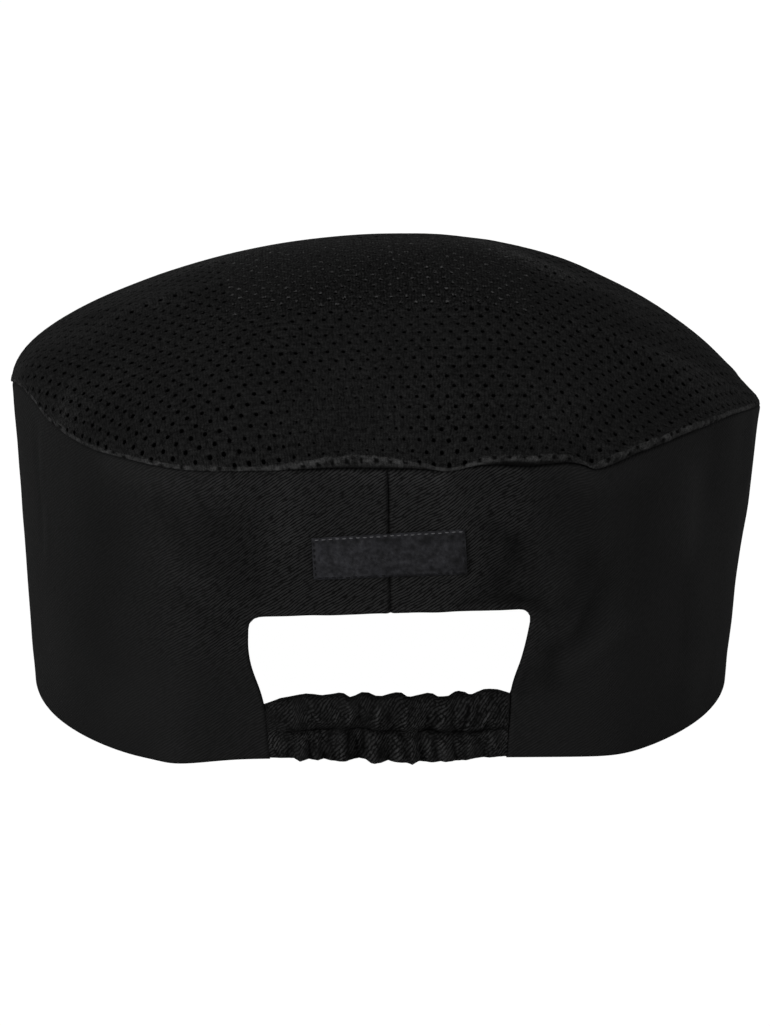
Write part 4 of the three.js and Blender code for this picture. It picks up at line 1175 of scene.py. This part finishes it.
casing = {
    "leftEnd": 36.0,
    "rightEnd": -34.5,
    "step": 0.2,
    "turnSteps": 29,
    # x, height and darkness of the stitched line; the darkness deepens its crease and paints shade along it
    "stitchLine": [
        (36, 7.9, 0), (27.2, 7.9, 0), (25.5, 7.6, 0.55), (23.6, 7.9, 0.2), (20.8, 8.2, 0.95),
        (18.9, 8.3, 0.8), (16.6, 8.4, 0.65), (13.5, 8.4, 0.12), (10.4, 8.5, 0.45), (8.8, 8.6, 1),
        (6.4, 8.6, 1), (5, 7.7, 0.3), (2.2, 7.4, 0.65), (-0.8, 7.7, 0.75), (-3, 7.4, 0.1), (-6, 7.4, 0.08),
        (-9.4, 8.1, 0.95), (-10.8, 7.9, 0.9), (-13.2, 7.2, 0.3), (-16.4, 7.2, 0.75), (-18.2, 7.2, 0.35),
        (-20.2, 7.3, 0.5), (-22.4, 7.4, 0.95), (-24.7, 8, 0.85), (-26.3, 7.8, 0.35), (-28.6, 8, 0.7),
        (-34.5, 8, 0.2),
    ],
    "bridgeFullness": 0.78,
    "halfThickness": 0.7,
    "tuckDepth": 2.6,
    "tuckRun": 0.4,
    "endReach": 0.2,
    # x at the floor and how far it moves with height, where the casing comes out from the wall on each side
    "freeFrom": (31.75, 0.084),
    "freeTo": (-29.45, -0.038),
    # x and height of the upper edge
    "topEdge": [
        (-34.5, 17.9), (-30.7, 17.9), (-29.7, 17.3), (-28.5, 17.7), (-26.7, 18.2), (-24.7, 18.3),
        (-23.1, 18.2), (-21.4, 17.5), (-20.2, 16.9), (-19.3, 16.9), (-18.3, 17.5), (-16.8, 17.8),
        (-15.8, 17.6), (-14.3, 16.5), (-13, 16.3), (-11.5, 16.3), (-10.2, 17.1), (-8.8, 17.3), (-6.4, 16.7),
        (-4.6, 16.3), (-3.6, 16.4), (-2.3, 17.4), (-0.8, 17.5), (1.2, 17), (2.7, 16.5), (4.3, 16.6),
        (6, 17.4), (7.8, 17.6), (9.3, 16.8), (10.8, 16.3), (12.4, 17.3), (13.6, 17.5), (15.7, 17.1),
        (17.8, 16.8), (19.7, 17.1), (22, 17.3), (25.3, 16.7), (28.6, 16.1), (30.9, 15.3), (32.4, 14.8),
        (36, 13.4),
    ],
    # x and outward reach of the lower edge
    "bottomReach": [
        (-34.5, 1), (-28.6, 1.1), (-26.8, 1.6), (-24.7, 2.2), (-23.2, 1.3), (-20.9, 3), (-18.5, 5.1),
        (-15.7, 5.5), (-13.7, 6.8), (-12.2, 5.9), (-10.9, 7.1), (-9.6, 7.6), (-8.1, 6.4), (-6.6, 5.6),
        (-5.8, 7.3), (-4.8, 9.9), (-3.5, 7.8), (-2, 7.4), (-0.2, 6.7), (1.2, 4.6), (3.1, 7.6), (4.6, 8.6),
        (5.6, 7.6), (6.8, 3.4), (8.6, 1.3), (9.8, 2.8), (11.7, 5.9), (13.5, 6.1), (15.7, 4.7), (17.5, 1.8),
        (19, 4.9), (20, 3.6), (21.3, 2.4), (22.6, 4.6), (23.6, 5.6), (25.1, 1.2), (28.6, 1.1), (31.4, 1.1),
        (36, 1),
    ],
    "upper": dict(out=3.4, inward=2.2, shift=1.1, fullness=0.6, height=9.4),
    "lower": dict(inward=2.2, shift=1.9, fullness=0.34, height=7.1),
    "bottomEdge": 0.35,
    # from x and share of the way to the edge, to x and share, width, outward, and the painted highlight
    # (above 0) or painted shade (below 0)
    "upperFolds": [
        (25.8, 0.82, 24.2, 0.17, 1.4, 0.34, 0.5), (21, 0.95, 19.2, 0.39, 0.34, 0.32, 0.8),
        (18.8, 0.6, 18.4, 0.95, 1.5, -0.08, -0.2), (19.5, 0.45, 17.7, 0.17, 0.37, 0.42, 1.2),
        (16.7, 0.73, 15.7, 0.56, 0.93, 0.16, 0.3), (14.7, 0.5, 14.2, 0.22, 0.47, 0.38, 1),
        (11.5, 0.89, 10.6, 0.56, 0.62, 0.53, 1.2), (10.6, 0.56, 11.1, 0.17, 0.7, 0.66, 1.4),
        (8.3, 0.97, 8.6, 0.28, 0.4, -0.43, -0.54), (8.6, 0.39, 7.6, 0.08, 0.62, -0.8, -0.81),
        (7.3, 0.19, 5, 0.44, 0.37, -0.48, -0.63), (6.6, 0.97, 6.6, 0.72, 0.78, -0.4, -0.36),
        (3.3, 0.83, 4.3, 0.1, 0.7, 0.56, 1.2), (0.7, 0.58, 1, 0.27, 0.78, -0.5, -0.45),
        (1.2, 0.02, -0.5, 0.13, 0.47, -0.61, -0.72), (0.2, 1, -1.3, 0.97, 0.62, -0.35, -0.36),
        (-1, 0.8, -1.2, 0.63, 0.75, -0.08, -0.18), (-3.6, 0.85, -2.8, 0.27, 0.47, 0.38, 1),
        (-3.1, 0.32, -2.6, 0.07, 0.62, 0.62, 1.4), (-4.8, 0.82, -4.3, 0.41, 0.54, -0.45, -0.5),
        (-6.4, 0.91, -6.6, 0.49, 0.54, 0.29, 0.3), (-4.9, 0.24, -7.9, 0.26, 0.78, 0.4, 0.8),
        (-7.9, 0.96, -9.4, 0.93, 0.62, -0.45, -0.45), (-8.7, 0.6, -8.9, 0.21, 0.54, -0.5, -0.54),
        (-9.9, 0.54, -10.2, 0.4, 0.54, 0.34, 0.8), (-11.2, 0.63, -10.7, 0.23, 0.47, -0.38, -0.45),
        (-8.4, 0.01, -9.7, 0.07, 0.7, -0.93, -0.9), (-13.2, 0.88, -12.6, 0.43, 0.93, 0.54, 0.7),
        (-9.5, 0.75, -11.8, 0.75, 1.1, -0.08, -0.18), (-12.7, 0.43, -11.5, 0.09, 0.62, 0.53, 1.2),
        (-15.5, 0.85, -15, 0.32, 0.4, -0.43, -0.54), (-15, 0.32, -16, 0.01, 0.47, -0.53, -0.63),
        (-16.8, 0.59, -16.3, 0.2, 0.78, 0.24, 0.5), (-16.3, 1.01, -17.8, 0.98, 0.62, -0.45, -0.45),
        (-19.4, 0.82, -18.9, 0.43, 0.4, -0.56, -0.72), (-18.9, 0.43, -17.5, 0.04, 0.43, -0.66, -0.81),
        (-15.8, 0.01, -17.8, 0.01, 0.54, -0.82, -0.9), (-20.8, 0.87, -19.6, 0.31, 0.7, 0.37, 0.3),
        (-19.6, 0.37, -18.3, 0.06, 0.47, 0.46, 1.2), (-21.8, 0.59, -21.1, 0.26, 0.54, -0.34, -0.36),
        (-23.1, 0.95, -23.9, 0.76, 0.78, 0.24, 0.5), (-24.9, 0.98, -24.9, 0.7, 0.54, -0.37, -0.41),
        (-26.7, 0.81, -24.6, 0.48, 0.47, 0.34, 0.5), (-24.6, 0.48, -22.1, 0.09, 0.43, 0.51, 1.4),
        (-27.4, 0.78, -26.7, 0.5, 0.47, -0.3, -0.36), (-28.4, 0.73, -28.2, 0.31, 0.47, 0.34, 0.9),
        (-25.7, 0.25, -28.2, 0.25, 0.78, 0.35, 0.7), (-20.8, 0, -22.9, 0, 0.7, -0.93, -0.9),
        (-22.9, 0.06, -23.9, 0.14, 0.47, -0.61, -0.72), (-24.4, -0.03, -29, 0.08, 0.37, -0.61, -0.81),
    ],
    "lowerFolds": [
        (30.2, -0.29, 28.4, -0.03, 0.47, 0.3, 0.8), (32.5, 0.1, 32.6, 0.9, 1.2, 0.16, 0.4),
        (23.8, 0.1, 24.2, 0.4, 1, 0.08, 0.44), (9.4, 0.5, 9.2, 0.8, 0.8, 0.08, 0.5),
        (4.4, 0.05, 4.3, 0.3, 0.8, 0.08, 0.6), (-12.8, 0.05, -12.8, 0.3, 0.8, 0.08, 0.44),
        (31.5, 0.3, 27.5, 0.3, 1.6, 0.08, 0.3), (24.4, 0.45, 24, 0.9, 0.7, 0.16, 0.5),
        (30.7, 0.56, 25.9, 0.56, 0.78, 0.35, 0.7), (25.6, -0.14, 24.1, -0.07, 0.62, -0.7, -0.72),
        (27.4, 0.12, 26.6, 0.34, 0.93, -0.27, -0.23), (22.1, 0.01, 23.3, 0.93, 0.78, 0.59, 1.2),
        (20, -0.1, 20.4, 0.79, 0.4, -0.32, -0.32), (20, -0.17, 18.5, -0.21, 0.7, -0.85, -0.81),
        (19, 0.2, 19.3, 0.49, 0.47, 0.16, 0.4), (17.8, -0.1, 17.4, 0.83, 0.4, 0.43, 1.2),
        (16.5, -0.06, 16, 0.42, 0.7, -0.75, -0.72), (16, 0.42, 14.7, 0.94, 0.62, -0.7, -0.72),
        (15.2, 0.24, 14.2, 0.13, 0.78, 0.19, 0.4), (13.2, 0.02, 13.2, 0.98, 0.47, 0.46, 1.2),
        (10.7, -0.05, 11.6, 0.39, 0.62, -0.8, -0.81), (11.6, 0.39, 10.9, 0.94, 0.62, -0.7, -0.72),
        (8.9, -0.09, 8.4, 0.76, 0.37, 0.42, 1.2), (7.8, -0.13, 7.1, 0.84, 0.59, -0.86, -0.9),
        (5.9, -0.09, 6.5, 0.36, 0.7, 0.46, 1), (6.5, 0.36, 5.1, 1.06, 0.78, 0.5, 1),
        (3.1, 0.28, 3.1, 0.69, 0.85, -0.72, -0.63), (0.3, 0.21, 0.1, 0.58, 0.47, -0.46, -0.54),
        (-0.5, -0.08, -1, 0.58, 0.47, 0.38, 1), (-1.2, 0.58, -1.5, 0.99, 0.85, 0.51, 1),
        (-2.9, 0.15, -3.7, 0.72, 0.85, -0.56, -0.54), (-4.3, 0.11, -5.3, 0.33, 0.62, 0.4, 0.9),
        (-7.8, 0.11, -5.6, 0.37, 0.54, 0.34, 0.8), (-5.6, 0.37, -5.1, 1.11, 0.78, 0.4, 0.8),
        (-7.3, 0.5, -7.4, 0.85, 0.5, -0.24, -0.14), (-8.6, 0.15, -8.9, 0.89, 0.5, 0.4, 1),
        (-10.2, 0.05, -11.2, 0.95, 0.62, -0.51, -0.63), (-11.9, 0.15, -12.7, 0.52, 0.78, 0.5, 1),
        (-12.7, 0.52, -13.4, 1, 1.09, 0.58, 1), (-15.3, -0.03, -16, 1, 0.5, -0.54, -0.63),
        (-16.5, 0.19, -16.5, 0.52, 0.47, 0.11, 0.3), (-18, 0.15, -18.5, 0.86, 0.62, -0.45, -0.45),
        (-18.9, 0.04, -19.8, 0.38, 0.62, 0.45, 1), (-19.8, 0.38, -19.6, 0.86, 0.85, 0.46, 0.9),
        (-21, 0.05, -22.8, 0.53, 0.47, -0.34, -0.41), (-22.8, 0.53, -23.3, 0.82, 0.47, -0.3, -0.36),
        (-23.3, -0.1, -24.8, 0.27, 0.5, 0.51, 0.8), (-24.8, 0.27, -26.6, 0.68, 0.7, 0.37, 0.8),
        (-26.8, 0.13, -28.1, 0.27, 0.54, -0.37, -0.41), (-28.4, 0.09, -28.1, 0.27, 0.47, 0.16, 0.4),
        (-2.5, -0.12, -7.6, -0.04, 0.34, -0.38, -0.54), (28.4, -0.14, 13.4, -0.13, 0.31, -0.22, -0.32),
    ],
}


def casingFree(x, z):
    (left, leftLean), (right, rightLean) = casing["freeFrom"], casing["freeTo"]
    return smoothRise(np.minimum(left + leftLean * z - x, x - right - rightLean * z), 0, casing["tuckRun"])


def stitchLine(x):
    at, height, dark = zip(*casing["stitchLine"][::-1])
    return np.interp(x, at, height) + 0.12 * valueNoise(x / 1.6 + 9, 46), np.interp(x, at, dark)


def casingLobe(x, turn, shape, reach, folds, edge):
    # one side of a lobe; turn runs from 0 at the stitched line to pi at the lobe's edge
    share = (1 - np.cos(turn)) / 2
    line, dark = stitchLine(x)
    z = line + (edge - line) * share
    free = casingFree(x, z)
    onLobe = np.stack(np.broadcast_arrays(x, share * shape["height"]), -1)
    lift, tone = foldField(onLobe, folds, (1, shape["height"]))
    body = np.sin(math.pi * (turn / math.pi) ** shape["shift"]) ** shape["fullness"]
    if folds:
        bridge = casing["bridgeFullness"] * (1 - dark) ** 2
        body = np.maximum(body, bridge * smoothRise(math.pi / 2 - turn, 0, 0.4))
    body = np.where(turn >= math.pi - 1e-6, 0, body)
    wrinkle = 0.3 * valueNoise2(x / 1.25 + 30, share * 2.4 + 2, 43)
    wrinkle = wrinkle + 0.14 * valueNoise2(x / 0.6 + 60, share * 4 + 5, 45)
    thick = casing["halfThickness"] * np.sqrt(np.clip(np.cos(turn / 2), 0, 1))
    fromEnd = np.minimum(casing["freeFrom"][0] - x, x - casing["freeTo"][0])
    flush = casing["endReach"] + (1 - casing["endReach"]) * smoothRise(fromEnd, 0, 5)
    full = np.maximum((reach + lift) * flush + wrinkle * np.clip(share * 4, 0.25, 1), 0.3)
    return thick + full * free * body, z, tone * free


def makeCasing():
    columns = int((casing["leftEnd"] - casing["rightEnd"]) / casing["step"]) + 1
    x = np.linspace(casing["leftEnd"], casing["rightEnd"], columns)[:, None]
    upper, lower = casing["upper"], casing["lower"]
    top = np.interp(x, *zip(*casing["topEdge"]))
    bottomReach = np.interp(x, *zip(*casing["bottomReach"]))
    bottom = casing["bottomEdge"] + 0 * x
    line, dark = stitchLine(x)
    swell = upper["out"] * (1 + 0.14 * valueNoise(x / 5.3 + 17, 41))
    turn = np.linspace(0, math.pi, casing["turnSteps"])[None, :]
    parts = [
        casingLobe(x, turn[:, ::-1], lower, bottomReach, casing["lowerFolds"], bottom),
        casingLobe(x, turn[:, 1:], upper, swell, casing["upperFolds"], top),
        casingLobe(x, turn[:, -2::-1], upper, upper["inward"] + 0 * x, [], top),
        casingLobe(x, turn[:, 1:-1], lower, lower["inward"] + 0 * x, [], bottom),
    ]
    out = np.concatenate([sign * part[0] for sign, part in zip((1, 1, -1, -1), parts)], 1)
    z, tone = (np.concatenate([part[k] for part in parts], 1) for k in (1, 2))
    middle = backFace(z) - capShape["wallThickness"] / 2 - casing["tuckDepth"] * (1 - casingFree(x, z))
    place = np.stack([np.broadcast_to(x, z.shape), middle + out, np.maximum(z, 0.1)], -1)
    loop = place.shape[1]
    closed, tone = np.concatenate([place, place[:, :1]], 1), np.concatenate([tone, tone[:, :1]], 1)
    runs = np.linalg.norm(np.diff(closed[:, :2 * turn.shape[1]], axis=0), axis=-1).mean(1)
    clothU = np.concatenate([[0], np.cumsum(runs)])
    clothV = np.concatenate([[0], np.cumsum(np.linalg.norm(np.diff(closed, axis=1), axis=-1).mean(0))])
    cloth = np.stack(np.meshgrid(clothU, clothV, indexing="ij"), -1)
    seen, height = closed[..., [0, 2]], closed[..., 2]
    cloth[..., 1] += 0.7 * patchNoise(seen, 3.6, 4.2, 50, 48) + 0.1 * tone
    faces = gridFaces(columns, loop + 1)
    ends = [list(range(loop)), [(columns - 1) * (loop + 1) + k for k in reversed(range(loop))]]

    onFront = closed[..., 1] > capShape["rim"]["flatBack"] + capShape["widestBehindMiddle"]
    # painted shade along the stitched line's crease, on its outer side
    creviceShade = 0.6 * dark * hump(height - line, 0.3 + 0.3 * dark) * onFront
    # painted light and shade along the gathers, with tone that differs at random
    paintedLightAndTone = tone + 0.26 * patchNoise(seen, 1.7, 2.4, 50, 47) + 0.2 * patchNoise(seen, 0.55, 0.8, 50, 52)
    # painted light: the lower lobe and the stitched line are lighter, to 3 mm above the line
    paintedLightAndTone = paintedLightAndTone + 0.2 * (1 - smoothRise(height, line, line + 3))
    clear = 1.0 + 0.5 * patchNoise(seen, 3.4, 3.1, 50, 50)
    tones = {"creviceShade": creviceShade.ravel(), "weaveClear": clear.ravel(), "paintedLightAndTone": paintedLightAndTone.ravel()}
    material = clothMaterial("gatheredTwill", casingLook, twillGroup,
                             Wale_Angle=0.8, Wale_Spacing=0.84, Waver=2.6, Breakup=1.0, Stroke_Length=0.95)
    newPiece("elastic_casing_cloth", closed.reshape(-1, 3), faces + ends, material,
             cloth=cloth.reshape(-1, 2), tones=tones, node="elastic_casing")


makeCasing()


# Woven label

labelLook = {
    "lowColour": (0.006, 0.006, 0.0075, 1),
    "highColour": (0.05, 0.05, 0.0555, 1),
    "fadedColour": (0.028, 0.0285, 0.0345, 1),
    "toneGain": 1.0,
    "lintColour": (0.07, 0.07, 0.07, 1),
    "toneShare": 0.3,
    "patchSize": 4.0,
    "lint": 0.6,
    "roughness": 0.7,
    "specular": 0.2,
    "bumpStrength": 0.7,
    "bumpDepth": 0.00012,
}

label = {
    "width": 38.8, "height": 11.1, "thickness": 0.7, "centreX": 0.95, "centreZ": 54.7, "askew": 3.3,
    "columns": 130, "rows": 42, "edgeRounding": 0.35, "gap": 0.1, "lowCorner": 0.9, "swell": 0.35,
    # the stitches' distance from the edge, how many there are, and the radius of their thread
    "stitchInset": 0.5, "topStitches": 22, "bottomStitches": 21, "sideStitches": 6,
    "topThread": 0.15, "edgeThread": 0.16,
}


def labelPlace(u, v, lift):
    # u runs to the left seen from behind, v up, both from the label's middle
    tilt = math.radians(label["askew"])
    v = v - label["lowCorner"] * (0.5 - u / label["width"]) * np.clip(0.5 - v / label["height"], 0, 1)
    x = label["centreX"] + u * math.cos(tilt) + v * math.sin(tilt)
    z = label["centreZ"] - u * math.sin(tilt) + v * math.cos(tilt)
    return np.stack([x, backFace(z) + lift, z], -1)


def labelEdge(u, v):
    return np.minimum(label["width"] / 2 - np.abs(u), label["height"] / 2 - np.abs(v))


def labelSwell(u, v):
    uneven = 1 + 0.4 * valueNoise2(u / 6 + 9, v / 4 + 9, 51)
    swell = label["swell"] * smoothRise(labelEdge(u, v), 0.8, 3.2) * uneven
    fromStitches = v - label["height"] / 2 + label["stitchInset"]
    return swell + 0.09 * np.cos(u / 1.85 * 2 * math.pi) * hump(fromStitches, 0.8)


def makeLabel():
    u = np.linspace(0.5, -0.5, label["columns"]) * label["width"]
    v = np.linspace(-0.5, 0.5, label["rows"]) * label["height"]
    v, u = (values.ravel() for values in np.meshgrid(v, u, indexing="ij"))
    profile = edgeProfile(labelEdge(u, v) + 1e-4, label["edgeRounding"])
    half, swell = label["thickness"] / 2, labelSwell(u, v)
    front = labelPlace(u, v, label["gap"] + half * (1 + profile) + swell)
    rear = labelPlace(u, v, label["gap"] + half * (1 - profile) + swell * 0.6)
    flat = np.stack([u, v], -1)
    cloth = flat * np.array([-1, 1]) + 40
    fromTop = label["height"] / 2 - v
    tone = 0.06 + 0.27 * patchNoise(flat, 2.2, 1.7, 60, 53) + 0.34 * patchNoise(flat, 0.85, 0.8, 60, 54)
    # darker towards the end on the right seen from behind
    tone -= 0.2 * smoothRise(-u, -12, 8)
    # painted shade under the stitched top edge
    tone -= 0.3 * (1 - smoothRise(fromTop, 1.2, 2.8)) * smoothRise(fromTop, 0.7, 1.0)
    # painted shadow along the bottom edge
    tone -= 0.3 * smoothRise(fromTop, label["height"] - 0.9, label["height"] - 0.2)
    newPiece("woven_label_tape", np.concatenate([front, rear]),
             bothSides(gridFaces(label["rows"], label["columns"]), len(u)),
             clothMaterial("labelTape", labelLook, ribGroup),
             cloth=np.concatenate([cloth, cloth]), tones={"paintedLightAndTone": firstSide(tone)},
             node="woven_label")


makeLabel()


# Stitches

stitching = {
    "sides": 7, "rings": 9,
    # x of the casing's stitches, how far apart and how long they are, and their thread's radius
    "casingFrom": 29.0, "casingTo": -27.0, "casingPitch": 2.05, "casingLength": 1.45, "casingThread": 0.15,
}
backward = np.array([0.0, 1.0, 0.0])


def stitchRun(rows, radius):
    # rows of start and end; each stitch arches out and dips into the cloth at both ends
    sides, rings = stitching["sides"], stitching["rings"]
    points, faces, cloth = [], [], []
    for start, end in rows:
        start, run = np.array(start, float), np.array(end, float) - np.array(start, float)
        across = unit(np.cross(run, backward))
        base = len(points)
        for t in np.linspace(0, 1, rings):
            arch = max(math.sin(math.pi * t), 0) ** 0.6
            centre = start + run * t + backward * radius * (1.5 * arch - 0.9)
            thick = radius * (0.55 + 0.45 * arch)
            for s in range(sides):
                turn = 2 * math.pi * s / sides
                points.append(centre + (across * math.cos(turn) + backward * math.sin(turn)) * thick)
                cloth.append((t * np.linalg.norm(run), s / sides))
        for k in range(base, base + (rings - 1) * sides, sides):
            for s in range(sides):
                n = (s + 1) % sides
                faces.append([k + s, k + n, k + sides + n, k + sides + s])
        faces.append([base + s for s in reversed(range(sides))])
        faces.append([base + (rings - 1) * sides + s for s in range(sides)])
    return np.array(points), faces, np.array(cloth)


def addStitches(name, rows, radius, material):
    points, faces, cloth = stitchRun(rows, radius)
    newPiece(name, points, faces, material, cloth=cloth)


def makeLabelStitches(edgeThread):
    draws = np.random.default_rng(61)
    inset = label["stitchInset"]
    halfWidth, halfHeight = label["width"] / 2, label["height"] / 2
    lift = label["gap"] + label["thickness"] + 0.05

    def row(fromPoint, toPoint, count, cover):
        made = []
        for k in range(count):
            ends = []
            for side, shift in zip((-1, 1), draws.uniform(-0.07, 0.07, 2)):
                share = (k + 0.5 + side * cover / 2) / count
                u, v = (np.array(a + (b - a) * share) for a, b in zip(fromPoint, toPoint))
                ends.append(labelPlace(u, v + shift, lift + labelSwell(u, v + shift)))
            made.append(ends)
        return made

    high, low, sideEnd = halfHeight - inset, inset - halfHeight, halfHeight - 0.8
    topRow = row((halfWidth - 0.5, high), (0.3 - halfWidth, high), label["topStitches"], 0.56)
    paleThread = threadMaterial("paleThread", (0.2, 0.2, 0.21, 1), 0.7)
    addStitches("label_top_stitches", topRow, label["topThread"], paleThread)
    edgeRows = row((halfWidth - 0.6, low), (0.6 - halfWidth, low), label["bottomStitches"], 0.6)
    for side in (halfWidth - inset, inset - halfWidth):
        edgeRows += row((side, -sideEnd), (side, sideEnd), label["sideStitches"], 0.6)
    addStitches("label_edge_stitches", edgeRows, label["edgeThread"], edgeThread)


def makeCasingStitches(thread):
    rows = []
    start = stitching["casingFrom"]
    while start > stitching["casingTo"]:
        ends = []
        for x in (start, start - stitching["casingLength"]):
            z = float(stitchLine(np.array(x))[0])
            out = casing["halfThickness"] + 0.1 - capShape["wallThickness"] / 2
            ends.append((x, backFace(z) + out, z))
        rows.append(ends)
        start -= stitching["casingPitch"]
    addStitches("casing_stitches", rows, stitching["casingThread"], thread)


darkThread = threadMaterial("darkThread", (0.012, 0.012, 0.014, 1), 0.8)
makeLabelStitches(darkThread)
makeCasingStitches(darkThread)


# Floor, light and camera

studio = {
    "cameraAim": (0, 0.0042, 0.0435),
    "cameraAside": 1.28,
    "cameraRise": 13.5,
    "cameraDistance": 2.0,
    "framePixels": 1026,
    "focalPixels": 7576,
    "sensor": 36,
    "ambient": 0.18,
    "floorHalf": 6.0,
    "floorColour": (0.75, 0.75, 0.75, 1),
    "floorSeenColour": (0.14, 0.14, 0.14, 1),
    "floorGlow": 1.0,
    # name, place, aim, size and power
    "lamps": [
        ("keyLamp", (1.5, 1.5, 0.55), (0, 0, 0.05), 1.0, 14),
        ("fillLamp", (-1.5, 1.5, 0.55), (0, 0, 0.05), 1.0, 7),
        ("frontLamp", (0.0, -1.9, 0.14), (0, 0, 0.04), 0.5, 1.0),
    ],
}


def makeFloor():
    # the floor lights the cap as pale paper does, and is seen as white
    half = studio["floorHalf"]
    mesh = bpy.data.meshes.new("floor")
    corners = [(-half, -half, 0), (half, -half, 0), (half, half, 0), (-half, half, 0)]
    mesh.from_pydata(corners, [], [[0, 1, 2, 3]])
    floor = linked("floor", mesh)
    material, tree, plain = newMaterial("paleFloor")
    plain.inputs["Base Color"].default_value = studio["floorColour"]
    seen = tree.nodes.new("ShaderNodeBsdfPrincipled")
    for key, value in (
        ("Base Color", studio["floorSeenColour"]), ("Roughness", 1.0), ("Specular IOR Level", 0.0),
        ("Emission Color", (1, 1, 1, 1)), ("Emission Strength", studio["floorGlow"]),
    ):
        seen.inputs[key].default_value = value
    path = tree.nodes.new("ShaderNodeLightPath")
    mix = tree.nodes.new("ShaderNodeMixShader")
    tree.links.new(path.outputs["Is Camera Ray"], mix.inputs[0])
    tree.links.new(plain.outputs[0], mix.inputs[1])
    tree.links.new(seen.outputs[0], mix.inputs[2])
    tree.links.new(mix.outputs[0], tree.nodes["Material Output"].inputs["Surface"])
    mesh.materials.append(material)


def makeWorld():
    world = bpy.data.worlds.new("studio")
    world.use_nodes = True
    bpy.context.scene.world = world
    tree = world.node_tree
    background = tree.nodes["Background"]
    background.inputs["Color"].default_value = (1, 1, 1, 1)
    seen = Signal(tree, tree.nodes.new("ShaderNodeLightPath").outputs["Is Camera Ray"])
    plug(tree, background.inputs["Strength"], rangeOf(seen, 0.0, 1.0, studio["ambient"], 1.0))


def aimed(name, data, place, away):
    holder = linked(name, data)
    holder.location = place
    holder.rotation_mode = "QUATERNION"
    holder.rotation_quaternion = away.to_track_quat("Z", "Y")
    return holder


def addLamp(name, place, aim, size, power):
    lamp = bpy.data.lights.new(name, "AREA")
    lamp.shape = "DISK"
    lamp.size = size
    lamp.energy = power
    aimed(name, lamp, place, Vector(place) - Vector(aim))


def makeCamera():
    camera = bpy.data.cameras.new("camera")
    camera.sensor_width = studio["sensor"]
    camera.lens = studio["focalPixels"] / studio["framePixels"] * studio["sensor"]
    camera.clip_start, camera.clip_end = 0.1, 50
    rise, aside = math.radians(studio["cameraRise"]), math.radians(studio["cameraAside"])
    away = Vector((math.sin(aside) * math.cos(rise), math.cos(aside) * math.cos(rise), math.sin(rise)))
    place = Vector(studio["cameraAim"]) + away * studio["cameraDistance"]
    bpy.context.scene.camera = aimed("camera", camera, place, away)


makeFloor()
makeWorld()
for lamp in studio["lamps"]:
    addLamp(*lamp)
makeCamera()
bpy.context.scene.view_settings.view_transform = "Standard"
print("floor, lights and camera ready")
